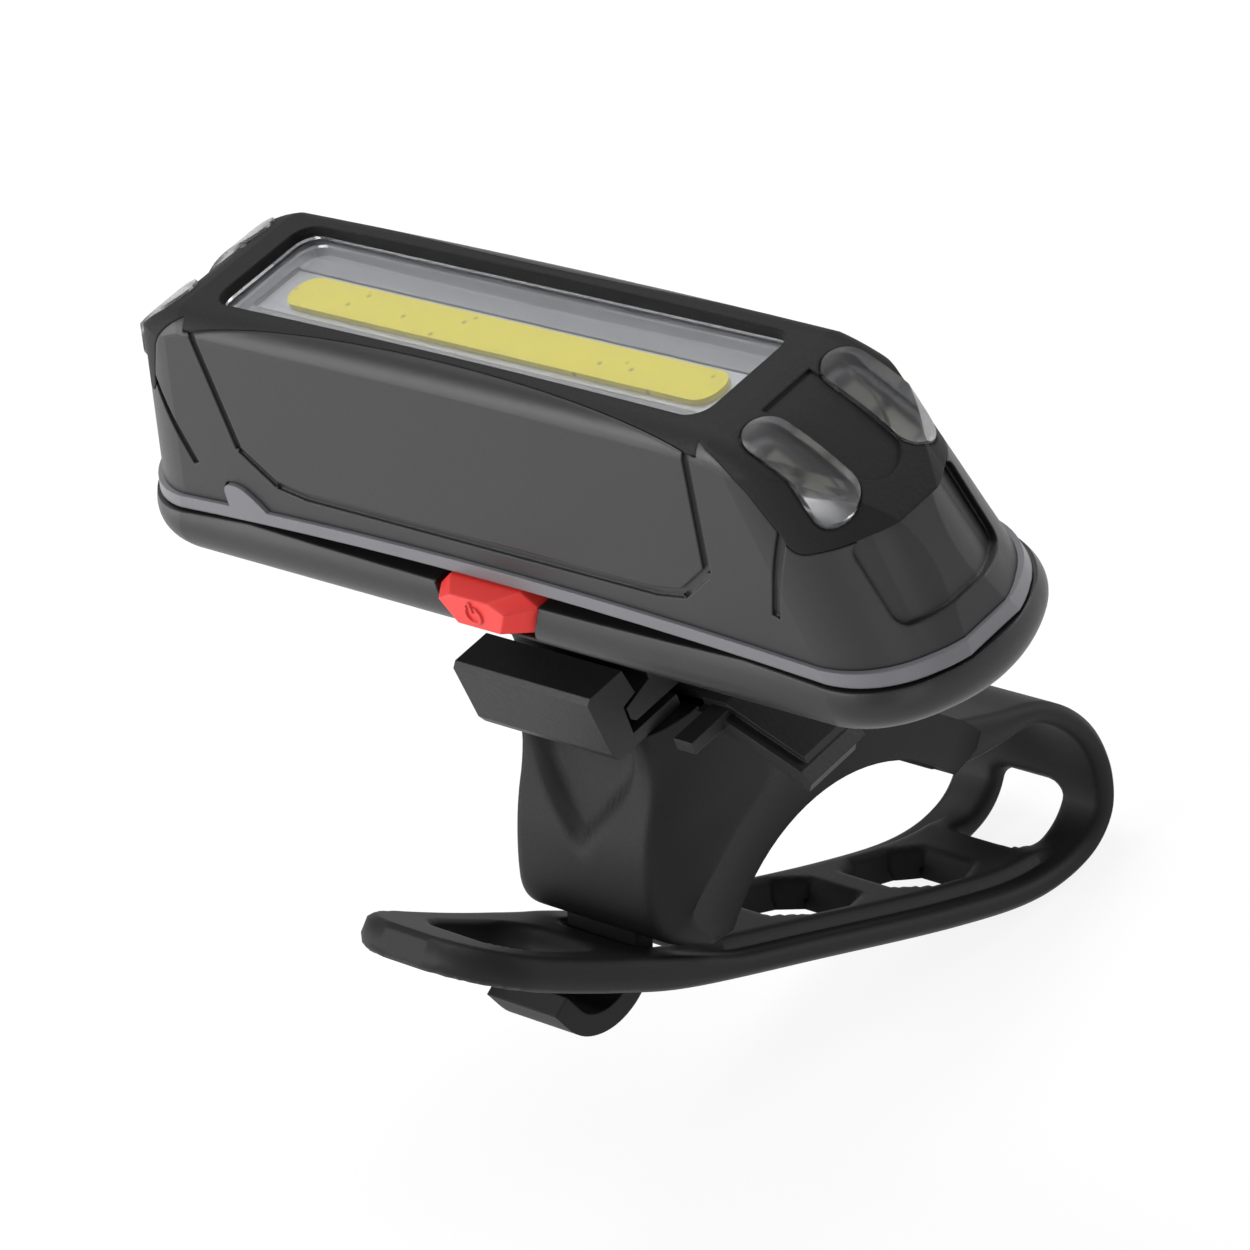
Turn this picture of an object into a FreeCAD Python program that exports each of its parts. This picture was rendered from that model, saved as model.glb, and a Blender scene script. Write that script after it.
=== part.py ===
import FreeCAD, Part

import math
import os

import Sketcher
from FreeCAD import Rotation, Vector

# A rechargeable bike light that slides into a bracket with a rubber strap.
#
# Each piece is drawn with the top of the light at height zero, X along the light,
# Y across it and Z up. The whole object is then moved so that its origin lies on
# the axis of the handlebar or seat post that the rubber saddle sits on.

document = FreeCAD.newDocument("BikeLight")
sheet = document.addObject("Spreadsheet::Sheet", "Dimensions")

# Driving dimensions, in millimetres and degrees.
dimensions = {
    # Light housing
    "end_reach": 18.65,
    "light_width": 21.2,
    "ring_height": 19.6,
    "side_draft": 4.7,
    "end_draft": 16.0,
    "corner_reach": 9.4,
    "corner_depth": 5.0,
    "crest_round": 2.7,
    "crest_edge": 6.5,
    "nose_reach": 49.05,
    "end_bulge": 1.7,
    "wall": 1.6,
    "crown": 0.4,
    "seam": 0.1,
    # Bezel and window
    "strip_margin": 3.9,
    "window_width": 12.4,
    "window_corner": 2.2,
    "window_lip": 0.9,
    "pane_flange": 1.3,
    "pane_thickness": 0.9,
    "waist_width": 14.0,
    "waist_margin": 0.6,
    "top_inside": 7.2,
    "bezel_drop": 9.6,
    # Light sources
    "strip_length": 53.0,
    "strip_width": 4.2,
    "strip_depth": 3.1,
    "strip_thickness": 0.5,
    "strip_board_width": 5.6,
    "strip_board_thickness": 0.8,
    "tray_thickness": 1.0,
    "spreader_thickness": 1.0,
    "lens_length": 11.5,
    "lens_width": 4.6,
    "lens_spread": 5.0,
    "lens_setback": 9.25,
    "lens_slope": 34.0,
    "lens_proud": 0.2,
    "lens_flange": 0.8,
    "signal_board_width": 14.6,
    "signal_board_length": 10.5,
    "signal_board_thickness": 1.0,
    "led_size": 2.8,
    "led_thickness": 0.9,
    # Light guide ring, seal and lower shell
    "ring_thickness": 1.25,
    "ring_proud": 0.35,
    "ring_width": 2.6,
    "ring_sag": 2.0,
    "seal_thickness": 0.3,
    "seal_skirt": 1.0,
    "relief_depth": 1.1,
    "relief_reach": 31.0,
    "shell_bulge": 0.9,
    "shell_depth": 27.4,
    # Indicator bump
    "bump_place": 30.3,
    "bump_length": 5.6,
    "bump_rise": 2.2,
    # Electronics
    "cell_diameter": 14.0,
    "cell_setback": 2.6,
    "cell_depth": 13.6,
    "cradle_width": 5.0,
    "board_setback": 8.6,
    "board_width": 14.0,
    "board_thickness": 1.0,
    "board_depth": 22.3,
    "board_shift": 1.0,
    "board_corner": 2.5,
    "boss_diameter": 4.6,
    "socket_length": 7.3,
    "socket_width": 9.0,
    "socket_height": 3.1,
    "socket_reach": 3.6,
    "cover_width": 12.0,
    "cover_height": 3.9,
    "cover_hinge": 4.8,
    "cover_corner": 1.5,
    "cover_thickness": 1.0,
    # Power button
    "button_width": 12.4,
    "button_face": 8.2,
    "button_height": 4.2,
    "button_proud": 2.3,
    "button_gap": 0.35,
    "button_flange": 0.45,
    "button_travel": 0.6,
    "switch_size": 4.0,
    # Fixings
    "screw_diameter": 2.2,
    "screw_head": 4.0,
    "head_height": 1.3,
    "screw_length": 10.0,
    "screw_setback": 13.95,
    "screw_side": 5.2,
    "foot_screw_place": 3.0,
    "foot_screw_side": 2.4,
    "foot_screw_length": 8.5,
    # Slide foot and bracket
    "foot_width": 16.0,
    "foot_thickness": 1.7,
    "foot_stem": 9.4,
    "foot_length": 17.0,
    "foot_drop": 33.9,
    "foot_slant": 0.8,
    "edge_break": 0.5,
    "slide_gap": 0.3,
    "rail_length": 17.0,
    "rail_width": 23.4,
    "rail_top": 30.5,
    "rail_mouth": 13.2,
    "base_bottom": 37.6,
    "base_thickness": 1.2,
    "anchor_inside": 3.4,
    "anchor_width": 1.6,
    "anchor_reach": 0.9,
    "anchor_length": 12.0,
    "anchor_thickness": 1.2,
    "anchor_neck": 1.4,
    # Latch tongue
    "tongue_hinge": 6.0,
    "tongue_slot": 5.2,
    "tongue_neck": 2.8,
    "tongue_width": 7.3,
    "tongue_bend": 14.0,
    "tongue_end": 22.4,
    "tongue_fall": 0.466,
    "tongue_rise": 0.7,
    "plateau_step": 1.1,
    "pad_lean": 1.1,
    "ear_reach": 7.7,
    "ear_width": 2.2,
    "ear_height": 1.2,
    "tooth_place": 4.6,
    "tooth_length": 2.2,
    "tooth_height": 1.9,
    # Rubber saddle and strap
    "seat_radius": 19.0,
    "seat_offset": 4.8,
    "seat_depth": 72.6,
    "saddle_width": 21.4,
    "strap_width": 19.0,
    "strap_thickness": 2.1,
    "root_extra": 2.2,
    "plateau_width": 13.2,
    "plateau_rise": 1.0,
    "slot_width": 10.2,
    "tab_corner": 7.0,
    "hook_width": 8.8,
    "hook_thickness": 2.0,
    "groove_depth": 2.6,
}


class Size:
    """A length that knows its value and the sheet formula that gives it."""

    def __init__(self, value, text):
        self.value = value
        self.text = text

    def combine(self, other, mark, value):
        """Join two lengths into a third, as a value and as a formula."""
        return Size(value, "(" + self.text + " " + mark + " " + as_size(other).text + ")")

    def __add__(self, other):
        return self.combine(other, "+", self.value + as_size(other).value)

    def __sub__(self, other):
        return self.combine(other, "-", self.value - as_size(other).value)

    def __mul__(self, other):
        return self.combine(other, "*", self.value * as_size(other).value)

    def __truediv__(self, other):
        return self.combine(other, "/", self.value / as_size(other).value)

    def __neg__(self):
        return Size(-self.value, "(0 - " + self.text + ")")


def as_size(number):
    """Give a plain number the same form as a length of the sheet."""
    if isinstance(number, Size):
        return number
    return Size(float(number), "(" + repr(float(number)) + ")")


def read_sheet():
    """Fill the sheet and return each dimension as a Size."""
    sizes = {}
    for row, (name, value) in enumerate(dimensions.items(), start=1):
        sheet.set("A" + str(row), name)
        sheet.set("B" + str(row), str(value))
        sheet.setAlias("B" + str(row), name)
    document.recompute()
    for name in dimensions:
        sizes[name] = Size(float(sheet.get(name)), "Dimensions." + name)
    return sizes


size = read_sheet()
nodes = []

# Lengths that follow the light strip: the window round it, the light's ends past the
# window, and the pieces inside that keep their distance from the ends
size["window_length"] = size["strip_length"] + size["strip_margin"] * 2
size["waist_reach"] = size["window_length"] / 2 + size["waist_margin"]
half_length = size["window_length"] / 2 + size["end_reach"]
size["lens_place"] = half_length - size["lens_setback"]
size["screw_reach"] = half_length - size["screw_setback"]
size["board_length"] = (half_length - size["board_setback"]) * 2
size["cell_length"] = (size["screw_reach"] - size["cell_setback"]) * 2

# Values that several pieces share, measured from the top of the light
half_width = size["light_width"] / 2
pane_top = -size["window_lip"]
flange_top = -(size["wall"] + size["seam"])
flange_bottom = flange_top - size["pane_thickness"]
strip_top = -size["strip_depth"]
strip_bottom = strip_top - size["strip_thickness"]
tray_top = flange_bottom - size["seam"]
tray_floor = strip_bottom + 0.1
tray_bottom = tray_floor - size["tray_thickness"]
spreader_top = tray_bottom - size["seam"]
spreader_bottom = spreader_top - size["spreader_thickness"]
shell_bottom = -size["shell_depth"]
foot_top = -size["foot_drop"]
foot_bottom = foot_top - size["foot_thickness"]
base_bottom = -size["base_bottom"]
base_top = base_bottom + size["base_thickness"]
board_bottom = -size["board_depth"]
board_top = board_bottom + size["board_thickness"]
button_top = -(size["ring_height"] + 0.6)
button_bottom = button_top - size["button_height"]


def shift():
    """Place from the drawing frame to the axis of the bar that the saddle sits on."""
    return Vector(0, -size["seat_offset"].value, size["seat_depth"].value)


def add_node(piece, name):
    """Name a finished piece, so that it becomes a node of the object."""
    piece.Label = name
    nodes.append(piece)
    return piece


def shape_node(name, shape):
    """Keep a shape made of curves and lofts as a piece of its own."""
    piece = document.addObject("Part::Feature", name)
    piece.Shape = shape
    piece.Placement = FreeCAD.Placement(shift(), Rotation()).multiply(shape.Placement)
    return add_node(piece, name)


def box(name, low, high):
    """A block between two corners, bound to the sheet."""
    block = document.addObject("Part::Box", name)
    lows = [as_size(value) for value in low]
    highs = [as_size(value) for value in high]
    for side, near, far in zip(("Length", "Width", "Height"), lows, highs):
        block.setExpression(side, (far - near).text)
    block.setExpression("Placement.Base.x", lows[0].text)
    block.setExpression("Placement.Base.y", (lows[1] - size["seat_offset"]).text)
    block.setExpression("Placement.Base.z", (lows[2] + size["seat_depth"]).text)
    return block


def new_body(name):
    """An empty body at the object's place."""
    body = document.addObject("PartDesign::Body", name)
    body.Placement = FreeCAD.Placement(shift(), Rotation())
    return body


def plane_of(body, role):
    """The body's own origin plane with this role."""
    for plane in body.Origin.OriginFeatures:
        if plane.Role == role:
            return plane
    raise RuntimeError(role)


def new_sketch(body, name, role, offset=0.0):
    """A sketch on an origin plane, moved along the plane's normal."""
    sketch = body.newObject("Sketcher::SketchObject", name)
    sketch.AttachmentSupport = [(plane_of(body, role), "")]
    sketch.MapMode = "FlatFace"
    sketch.setExpression("AttachmentOffset.Base.z", as_size(offset).text)
    return sketch


def place_point(sketch, edge, end, point):
    """Hold one end of an edge at two lengths of the sheet."""
    for kind, length in zip(("DistanceX", "DistanceY"), point):
        length = as_size(length)
        if abs(length.value) < 1e-9:
            partner = {"DistanceX": -2, "DistanceY": -1}[kind]
            sketch.addConstraint(Sketcher.Constraint("PointOnObject", edge, end, partner))
            continue
        index = sketch.addConstraint(Sketcher.Constraint(kind, -1, 1, edge, end, length.value))
        sketch.setExpression("Constraints[" + str(index) + "]", length.text)


def outline(sketch, points):
    """A closed outline of straight lines through points given as lengths."""
    first = sketch.GeometryCount
    corners = [Vector(as_size(a).value, as_size(b).value, 0) for a, b in points]
    count = len(corners)
    for index in range(count):
        line = Part.LineSegment(corners[index], corners[(index + 1) % count])
        sketch.addGeometry(line, False)
    for index in range(count):
        after = first + (index + 1) % count
        sketch.addConstraint(Sketcher.Constraint("Coincident", first + index, 2, after, 1))
    for index in range(count):
        place_point(sketch, first + index, 1, points[index])


def rectangle(sketch, left, right, low, high):
    """A rectangle between four lengths."""
    outline(sketch, [(left, low), (right, low), (right, high), (left, high)])


def circle(sketch, centre, radius):
    """A circle round a point given as lengths."""
    radius = as_size(radius)
    middle = Vector(as_size(centre[0]).value, as_size(centre[1]).value, 0)
    edge = sketch.addGeometry(Part.Circle(middle, Vector(0, 0, 1), radius.value), False)
    index = sketch.addConstraint(Sketcher.Constraint("Radius", edge, radius.value))
    sketch.setExpression("Constraints[" + str(index) + "]", radius.text)
    place_point(sketch, edge, 3, centre)


def pad(body, name, sketch, length, both_ways=False, reverse=False):
    """Pad a sketch by a length of the sheet."""
    feature = body.newObject("PartDesign::Pad", name)
    feature.Profile = sketch
    feature.setExpression("Length", as_size(length).text)
    feature.Midplane = both_ways
    feature.Reversed = reverse
    body.Tip = feature
    document.recompute()
    return feature


def pocket(body, name, sketch, length, both_ways=False, reverse=False):
    """Pocket a sketch by a length of the sheet, and check that it cuts."""
    before = body.Shape.Volume
    feature = body.newObject("PartDesign::Pocket", name)
    feature.Profile = sketch
    feature.setExpression("Length", as_size(length).text)
    feature.Midplane = both_ways
    feature.Reversed = reverse
    body.Tip = feature
    document.recompute()
    if body.Shape.Volume > before - 1e-6:
        raise RuntimeError(name + " cuts nothing")
    return feature


def round_edges(body, name, radius, chosen):
    """Fillet the edges of the body's last feature whose middle point is chosen."""
    base = body.Tip
    edges = []
    back = body.Placement.Base
    for number, edge in enumerate(body.Shape.Edges, start=1):
        middle = edge.valueAt((edge.FirstParameter + edge.LastParameter) / 2) - back
        if chosen(middle, edge):
            edges.append("Edge" + str(number))
    feature = body.newObject("PartDesign::Fillet", name)
    feature.Base = (base, edges)
    feature.setExpression("Radius", as_size(radius).text)
    body.Tip = feature
    document.recompute()
    return feature


# The outer form of the light: a drafted prism with rounded ends whose top runs
# down over each end in one curve

nose_points = [(33.0, 0.0), (36.5, 1.2), (40.0, 3.2), (43.2, 5.9), (45.5, 9.0),
               (46.8, 12.2), (47.9, 16.0), (48.8, 19.8), (49.4, 22.5)]


def plan_wire(length, width, height):
    """The light's plan at one height: straight sides, rounded corners, bowed ends."""
    reach = size["corner_reach"].value
    depth = size["corner_depth"].value
    bulge = size["end_bulge"].value
    end = [(length - bulge, -(width - depth)), (length, 0), (length - bulge, width - depth)]
    corner_middle = (length - 0.5 * (reach + bulge) + 0.8, width - 0.5 * depth + 0.9)
    side = (length - reach, width)
    edges = []

    def spot(pair, flip):
        return Vector(pair[0] * flip, pair[1] * flip, height)

    for flip in (1, -1):
        low = [(side[0], -side[1]), (corner_middle[0], -corner_middle[1]), end[0]]
        high = [end[2], corner_middle, side]
        edges.append(Part.Arc(*[spot(pair, flip) for pair in low]).toShape())
        edges.append(Part.Arc(*[spot(pair, flip) for pair in end]).toShape())
        edges.append(Part.Arc(*[spot(pair, flip) for pair in high]).toShape())
        far = Vector(-side[0] * flip, side[1] * flip, height)
        edges.append(Part.LineSegment(spot(side, flip), far).toShape())
    return Part.Wire(edges)


def draft_prism(low, high, inset):
    """The drafted prism between two heights, its walls moved in by the inset."""
    wires = []
    for height in (low, high):
        rise = height + size["ring_height"].value
        width = half_width.value - rise * math.tan(math.radians(size["side_draft"].value))
        length = half_length.value - rise * math.tan(math.radians(size["end_draft"].value))
        wires.append(plan_wire(length - inset, width - inset, height))
    return Part.makeLoft(wires, True, True)


def nose_curve(inset):
    """Points down the end of the light, moved in along their normals by the inset."""
    stretch = half_length.value - size["nose_reach"].value
    moved = []
    for index, (along, down) in enumerate(nose_points):
        before = nose_points[max(index - 1, 0)]
        after = nose_points[min(index + 1, len(nose_points) - 1)]
        run = Vector(after[0] - before[0], 0, before[1] - after[1]).normalize()
        if index == 0:
            run = Vector(1, 0, 0)
        normal = Vector(-run.z, 0, run.x)
        moved.append(Vector(along + stretch, 0, -down) - normal * inset)
    return moved


def side_slab(edges, reach=20.0):
    """A slab across the light from a closed outline in the XZ plane."""
    face = Part.Face(Part.Wire(edges))
    face.translate(Vector(0, -reach, 0))
    return face.extrude(Vector(0, 2 * reach, 0))


def mirrored(points):
    """The same points on the other end of the light."""
    return [Vector(-point.x, point.y, point.z) for point in points]


def nose_slab(inset):
    """The light's side view: a slightly crowned top between the two end curves."""
    right = nose_curve(inset)
    left = mirrored(right)
    top = Vector(0, 0, size["crown"].value - inset)
    right_edge = Part.BSplineCurve()
    right_edge.interpolate(right)
    left_edge = Part.BSplineCurve()
    left_edge.interpolate(left)
    edges = [
        Part.Arc(left[0], top, right[0]).toShape(),
        right_edge.toShape(),
        Part.LineSegment(right[-1], left[-1]).toShape(),
        left_edge.toShape(),
    ]
    return crowned_slab(Part.Wire(Part.__sortEdges__(edges)), inset)


def crowned_slab(profile, inset):
    """A slab across the light whose top rolls off along both sides in an arc."""
    radius = size["crest_round"].value - inset
    start = size["crest_edge"].value
    turns = [math.radians(15 * step) for step in range(6)]
    middle = Part.Face(profile)
    middle.translate(Vector(0, -start, 0))
    parts = []
    for side in (-1, 1):
        wires = []
        for turn in turns:
            wire = profile.copy()
            wire.translate(Vector(0, side * (start + radius * math.sin(turn)), radius * (math.cos(turn) - 1)))
            wires.append(wire)
        parts.append(Part.makeLoft(wires, True, False))
        outside = Part.Face(wires[-1])
        parts.append(outside.extrude(Vector(0, side * 4, 0)))
    return middle.extrude(Vector(0, 2 * start, 0)).multiFuse(parts)


forms = {}


def form(inset):
    """The whole outer form, moved in by the inset."""
    if inset not in forms:
        forms[inset] = draft_prism(-22.0, 2.0, inset).common(nose_slab(inset))
    return forms[inset]


def band_curve(drop):
    """The arc of the seam between the shells in side view, lowered by a drop."""
    end = half_length.value + 3
    sag = size["ring_sag"].value
    high = -(size["ring_height"].value - 1.0) - drop
    return [Vector(-end, 0, high - sag), Vector(0, 0, high), Vector(end, 0, high - sag)]


def below_band(drop, floor=-40.0):
    """All space below the seam's arc."""
    left, middle, right = band_curve(drop)
    low_right = Vector(right.x, 0, floor)
    low_left = Vector(left.x, 0, floor)
    edges = [
        Part.Arc(left, middle, right).toShape(),
        Part.LineSegment(right, low_right).toShape(),
        Part.LineSegment(low_right, low_left).toShape(),
        Part.LineSegment(low_left, left).toShape(),
    ]
    return side_slab(edges)


def rounded_slab(length, width, corner, low, high):
    """A flat plate with rounded corners between two heights."""
    x = length / 2
    y = width / 2
    block = Part.makeBox(length, width, high - low, Vector(-x, -y, low))
    uprights = [edge for edge in block.Edges if abs(edge.tangentAt(edge.FirstParameter).z) > 0.9]
    return block.makeFillet(corner, uprights)


def oval(length, width, low, high):
    """An upright slot-shaped block, long along X."""
    radius = width / 2
    straight = length / 2 - radius
    block = Part.makeBox(2 * straight, width, high - low, Vector(-straight, -radius, low))
    for side in (-1, 1):
        end = Part.makeCylinder(radius, high - low, Vector(side * straight, 0, low))
        block = block.fuse(end)
    return block.removeSplitter()


def nose_height():
    """Depth of the end curve below the top at the lens."""
    points = nose_curve(0)
    for before, after in zip(points, points[1:]):
        if before.x <= size["lens_place"].value <= after.x:
            share = (size["lens_place"].value - before.x) / (after.x - before.x)
            return before.z + share * (after.z - before.z)
    return points[-1].z


def on_nose(shape, side_x, side_y):
    """Turn an upright shape square to the end slope and put it at a lens."""
    placed = shape.copy()
    placed.rotate(Vector(0, 0, 0), Vector(0, 1, 0), size["lens_slope"].value)
    placed.translate(Vector(size["lens_place"].value, 0, nose_height()))
    if side_x < 0:
        placed.rotate(Vector(0, 0, 0), Vector(0, 0, 1), 180)
    placed.translate(Vector(0, side_y * size["lens_spread"].value, 0))
    return placed


ENDS = (("front", 1), ("rear", -1))
SIDES = (("left", 1), ("right", -1))


# Upper part of the light: bezel, side shell, window

def waist_prism(low, high, clearance):
    """The bezel's plan along the window: narrowest in the middle."""
    reach = size["waist_reach"].value
    ends = half_width.value + 2
    middle = size["waist_width"].value / 2 - clearance
    full = half_width.value - 1.75 - clearance
    edges = []
    for flip in (1, -1):
        edges.append(Part.Arc(Vector(reach * flip, full * flip, low), Vector(0, middle * flip, low),
                              Vector(-reach * flip, full * flip, low)).toShape())
        corners = [Vector(-reach * flip, full * flip, low),
                   Vector(-(reach + 2) * flip, full * flip, low),
                   Vector(-(reach + 2) * flip, ends * flip, low),
                   Vector(-(reach + 9) * flip, ends * flip, low)]
        for before, after in zip(corners, corners[1:]):
            edges.append(Part.LineSegment(before, after).toShape())
        start = Vector((reach + 9) * -flip, ends * flip, low)
        finish = Vector((reach + 9) * -flip, -ends * flip, low)
        edges.append(Part.LineSegment(start, finish).toShape())
        corners = [Vector(-(reach + 9) * flip, -ends * flip, low),
                   Vector(-(reach + 2) * flip, -ends * flip, low),
                   Vector(-(reach + 2) * flip, -full * flip, low),
                   Vector(-reach * flip, -full * flip, low)]
        for before, after in zip(corners, corners[1:]):
            edges.append(Part.LineSegment(before, after).toShape())
    face = Part.Face(Part.Wire(Part.__sortEdges__(edges)))
    return face.extrude(Vector(0, 0, high - low))


def bezel_zone(clearance):
    """Space of the bezel: both ends down to the drop, and the plate along the window."""
    drop = -size["bezel_drop"].value + clearance
    shift_out = half_length.value - size["nose_reach"].value + clearance
    points = [(31.0, -0.3), (35.0, -2.0), (36.9, -3.9), (38.1, -5.6), (39.2, -8.0)]
    start = Vector(points[0][0] + shift_out, 0, points[0][1])
    knee = Vector(points[2][0] + shift_out, 0, points[2][1])
    foot = Vector(points[4][0] + shift_out, 0, points[4][1])
    flat = Vector(foot.x + 2.2, 0, drop)
    corner = Vector(foot.x + 0.6, 0, drop + 0.5)
    far = Vector(half_length.value + 3, 0, drop)
    high = Vector(far.x, 0, 5)
    over = Vector(start.x, 0, 5)
    zone = None
    bend = Vector(points[1][0] + shift_out, 0, points[1][1])
    for flip in (1, -1):
        def spot(point):
            return Vector(point.x * flip, point.y, point.z)
        edges = [
            Part.Arc(spot(start), spot(bend), spot(knee)).toShape(),
            Part.LineSegment(spot(knee), spot(foot)).toShape(),
            Part.Arc(spot(foot), spot(corner), spot(flat)).toShape(),
            Part.LineSegment(spot(flat), spot(far)).toShape(),
            Part.LineSegment(spot(far), spot(high)).toShape(),
            Part.LineSegment(spot(high), spot(over)).toShape(),
            Part.LineSegment(spot(over), spot(start)).toShape(),
        ]
        end = side_slab(Part.__sortEdges__(edges))
        zone = end if zone is None else zone.fuse(end)
    plate = waist_prism(-size["wall"].value + clearance, 5, clearance)
    inner = 2 * (size["waist_reach"].value + 1)
    width = 2 * (half_width.value - 1.75 - clearance)
    bridge = Part.makeBox(inner, width, 10, Vector(-inner / 2, -width / 2, -size["wall"].value + clearance))
    throat = 2 * (size["top_inside"].value - clearance)
    for side in (-1, 1):
        low = -size["bezel_drop"].value + clearance
        middle = side * (size["waist_reach"].value + 15)
        block = Part.makeBox(30, throat, 20, Vector(middle - 15, -throat / 2, low))
        zone = zone.fuse(block)
    return zone.fuse(plate.common(bridge))


def build_housing():
    """The bezel and the upper shell, split along the curved seam in side view."""
    skin = form(0).cut(form(size["wall"].value))
    skin = skin.cut(below_band(0))
    rebate = 2 * size["pane_flange"].value + 0.2
    skin = skin.cut(rounded_slab(size["window_length"].value + rebate, size["window_width"].value + rebate,
                                 size["window_corner"].value, tray_bottom.value, flange_top.value))
    window = rounded_slab(size["window_length"].value, size["window_width"].value,
                          size["window_corner"].value, -5, 5)
    bezel = skin.common(bezel_zone(0)).cut(window)
    shell = skin.cut(bezel_zone(-size["seam"].value))
    for name, side_x in ENDS:
        for hand, side_y in SIDES:
            hole = oval(size["lens_length"].value, size["lens_width"].value, -6, 6)
            bezel = bezel.cut(on_nose(hole, side_x, side_y))
        bezel = bezel.cut(on_nose(end_shield(), side_x, 0).common(form(-1).cut(form(0.3))))
    for side in (-1, 1):
        shell = emboss_side(shell, side)
        shell = cut_end_recess(shell, side)
    shell = shell.cut(bump_shape(0.12))
    return largest(bezel), largest(shell.fuse(upper_bosses()))


def upper_bosses():
    """Four bosses inside the upper shell that take the shell screws."""
    low = board_top.value + 0.2
    bosses = []
    for side_x in (-1, 1):
        for side_y in (-1, 1):
            x = side_x * size["screw_reach"].value
            y = side_y * size["screw_side"].value
            boss = Part.makeCylinder(size["boss_diameter"].value / 2, 8, Vector(x, y, low))
            web = Part.makeBox(1.6, 5, 4.2, Vector(x - 0.8, y if side_y > 0 else y - 5, low + 3.8))
            boss = boss.fuse(web)
            pilot = Part.makeCylinder(size["screw_diameter"].value / 2 + 0.05, 7, Vector(x, y, low - 1))
            bosses.append(boss.cut(pilot).common(form(0.8)))
    return bosses[0].multiFuse(bosses[1:])


def end_shield():
    """The shallow shield-shaped field between two lenses: square above, round below."""
    half = 3.0
    round_part = Part.makeCylinder(half, 12, Vector(2.6, 0, -6))
    square_part = Part.makeBox(8.4, 2 * half, 12, Vector(-5.8, -half, -6))
    return round_part.fuse(square_part).removeSplitter()


def largest(shape):
    """The main solid of a cut, without loose slivers."""
    solids = sorted(shape.Solids, key=lambda solid: solid.Volume)
    return solids[-1]


def emboss_side(shell, side):
    """Shallow grooves on one side wall: the panel's border and a second line at each end."""
    depth = 0.35
    bar = 0.9
    outer = form(0).cut(form(depth))
    grooves = []
    for flip in (1, -1):
        lines = [
            [(30.9, -0.9), (29.3, -13.0), (25.5, -15.9), (22.0, -16.4)],
            [(39.4, -7.0), (36.3, -15.8)],
        ]
        for line in lines:
            for before, after in zip(line, line[1:]):
                grooves.append(groove_bar(before, after, bar, flip))
    grooves.append(groove_bar((-22.3, -16.4), (22.3, -16.4), bar, 1))
    cutter = grooves[0].multiFuse(grooves[1:])
    half_space = Part.makeBox(120, 20, 60, Vector(-60, 0 if side > 0 else -20, -40))
    return shell.cut(cutter.common(outer).common(half_space))


def groove_bar(before, after, width, flip):
    """A bar across the light that follows one line of the side view."""
    start = Vector(before[0] * flip, 0, before[1])
    finish = Vector(after[0] * flip, 0, after[1])
    run = finish - start
    across = Vector(-run.z, 0, run.x).normalize() * (width / 2)
    corners = [start + across, finish + across, finish - across, start - across]
    edges = []
    for index in range(4):
        edges.append(Part.LineSegment(corners[index], corners[(index + 1) % 4]).toShape())
    return side_slab(edges)


def cut_end_recess(shell, side):
    """The shallow panel on the end wall, under the bezel."""
    depth = 0.6
    panel = Part.makeBox(12, 12.8, 8.0, Vector(0, -6.4, -17.6))
    panel = panel.makeFillet(1.2, [edge for edge in panel.Edges if abs(edge.tangentAt(0).x) > 0.9])
    panel.translate(Vector(41.5 if side > 0 else -53.5, 0, 0))
    return shell.cut(panel.common(form(0).cut(form(depth))))


def bump_shape(clearance):
    """The charge indicator: a sloping bump of the light guide on the near side."""
    place = -size["bump_place"].value
    rise = size["bump_rise"].value + clearance
    half = size["bump_length"].value / 2 + clearance
    base = -size["ring_height"].value + 1.0 - size["ring_sag"].value * 0.32
    top = base + rise
    steep = Vector(place - half, 0, base - 0.6)
    crest = Vector(place - half + 1.0, 0, top)
    mid = Vector(place - 0.1, 0, top - 0.25)
    slope = Vector(place + half, 0, base - 0.4)
    edges = [
        Part.LineSegment(steep, Vector(steep.x, 0, top - 1.0)).toShape(),
        Part.Arc(Vector(steep.x, 0, top - 1.0), Vector(steep.x + 0.3, 0, top - 0.3), crest).toShape(),
        Part.Arc(crest, Vector((crest.x + mid.x) / 2, 0, top - 0.02), mid).toShape(),
        Part.Arc(mid, Vector(place + half * 0.55, 0, base + rise * 0.38), slope).toShape(),
        Part.LineSegment(slope, steep).toShape(),
    ]
    bump = side_slab(Part.__sortEdges__(edges))
    near = Part.makeBox(30, 20, 30, Vector(place - 15, -20, -35))
    skin = form(-size["ring_proud"].value).cut(form(size["wall"].value + 0.3))
    return bump.common(near).common(skin)


bezel_shape, shell_shape = build_housing()
shape_node("top_bezel", bezel_shape)
shape_node("upper_shell", shell_shape)


def build_window():
    """The clear pane: a flange under the bezel and a raised field in its opening."""
    gap = 0.15
    flange = size["pane_flange"].value
    plate = rounded_slab(size["window_length"].value + 2 * flange,
                         size["window_width"].value + 2 * flange,
                         size["window_corner"].value, flange_bottom.value, flange_top.value)
    field = rounded_slab(size["window_length"].value - 2 * gap, size["window_width"].value - 2 * gap,
                         size["window_corner"].value - gap, flange_top.value - 0.2, pane_top.value)
    return plate.fuse(field).removeSplitter()


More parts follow.
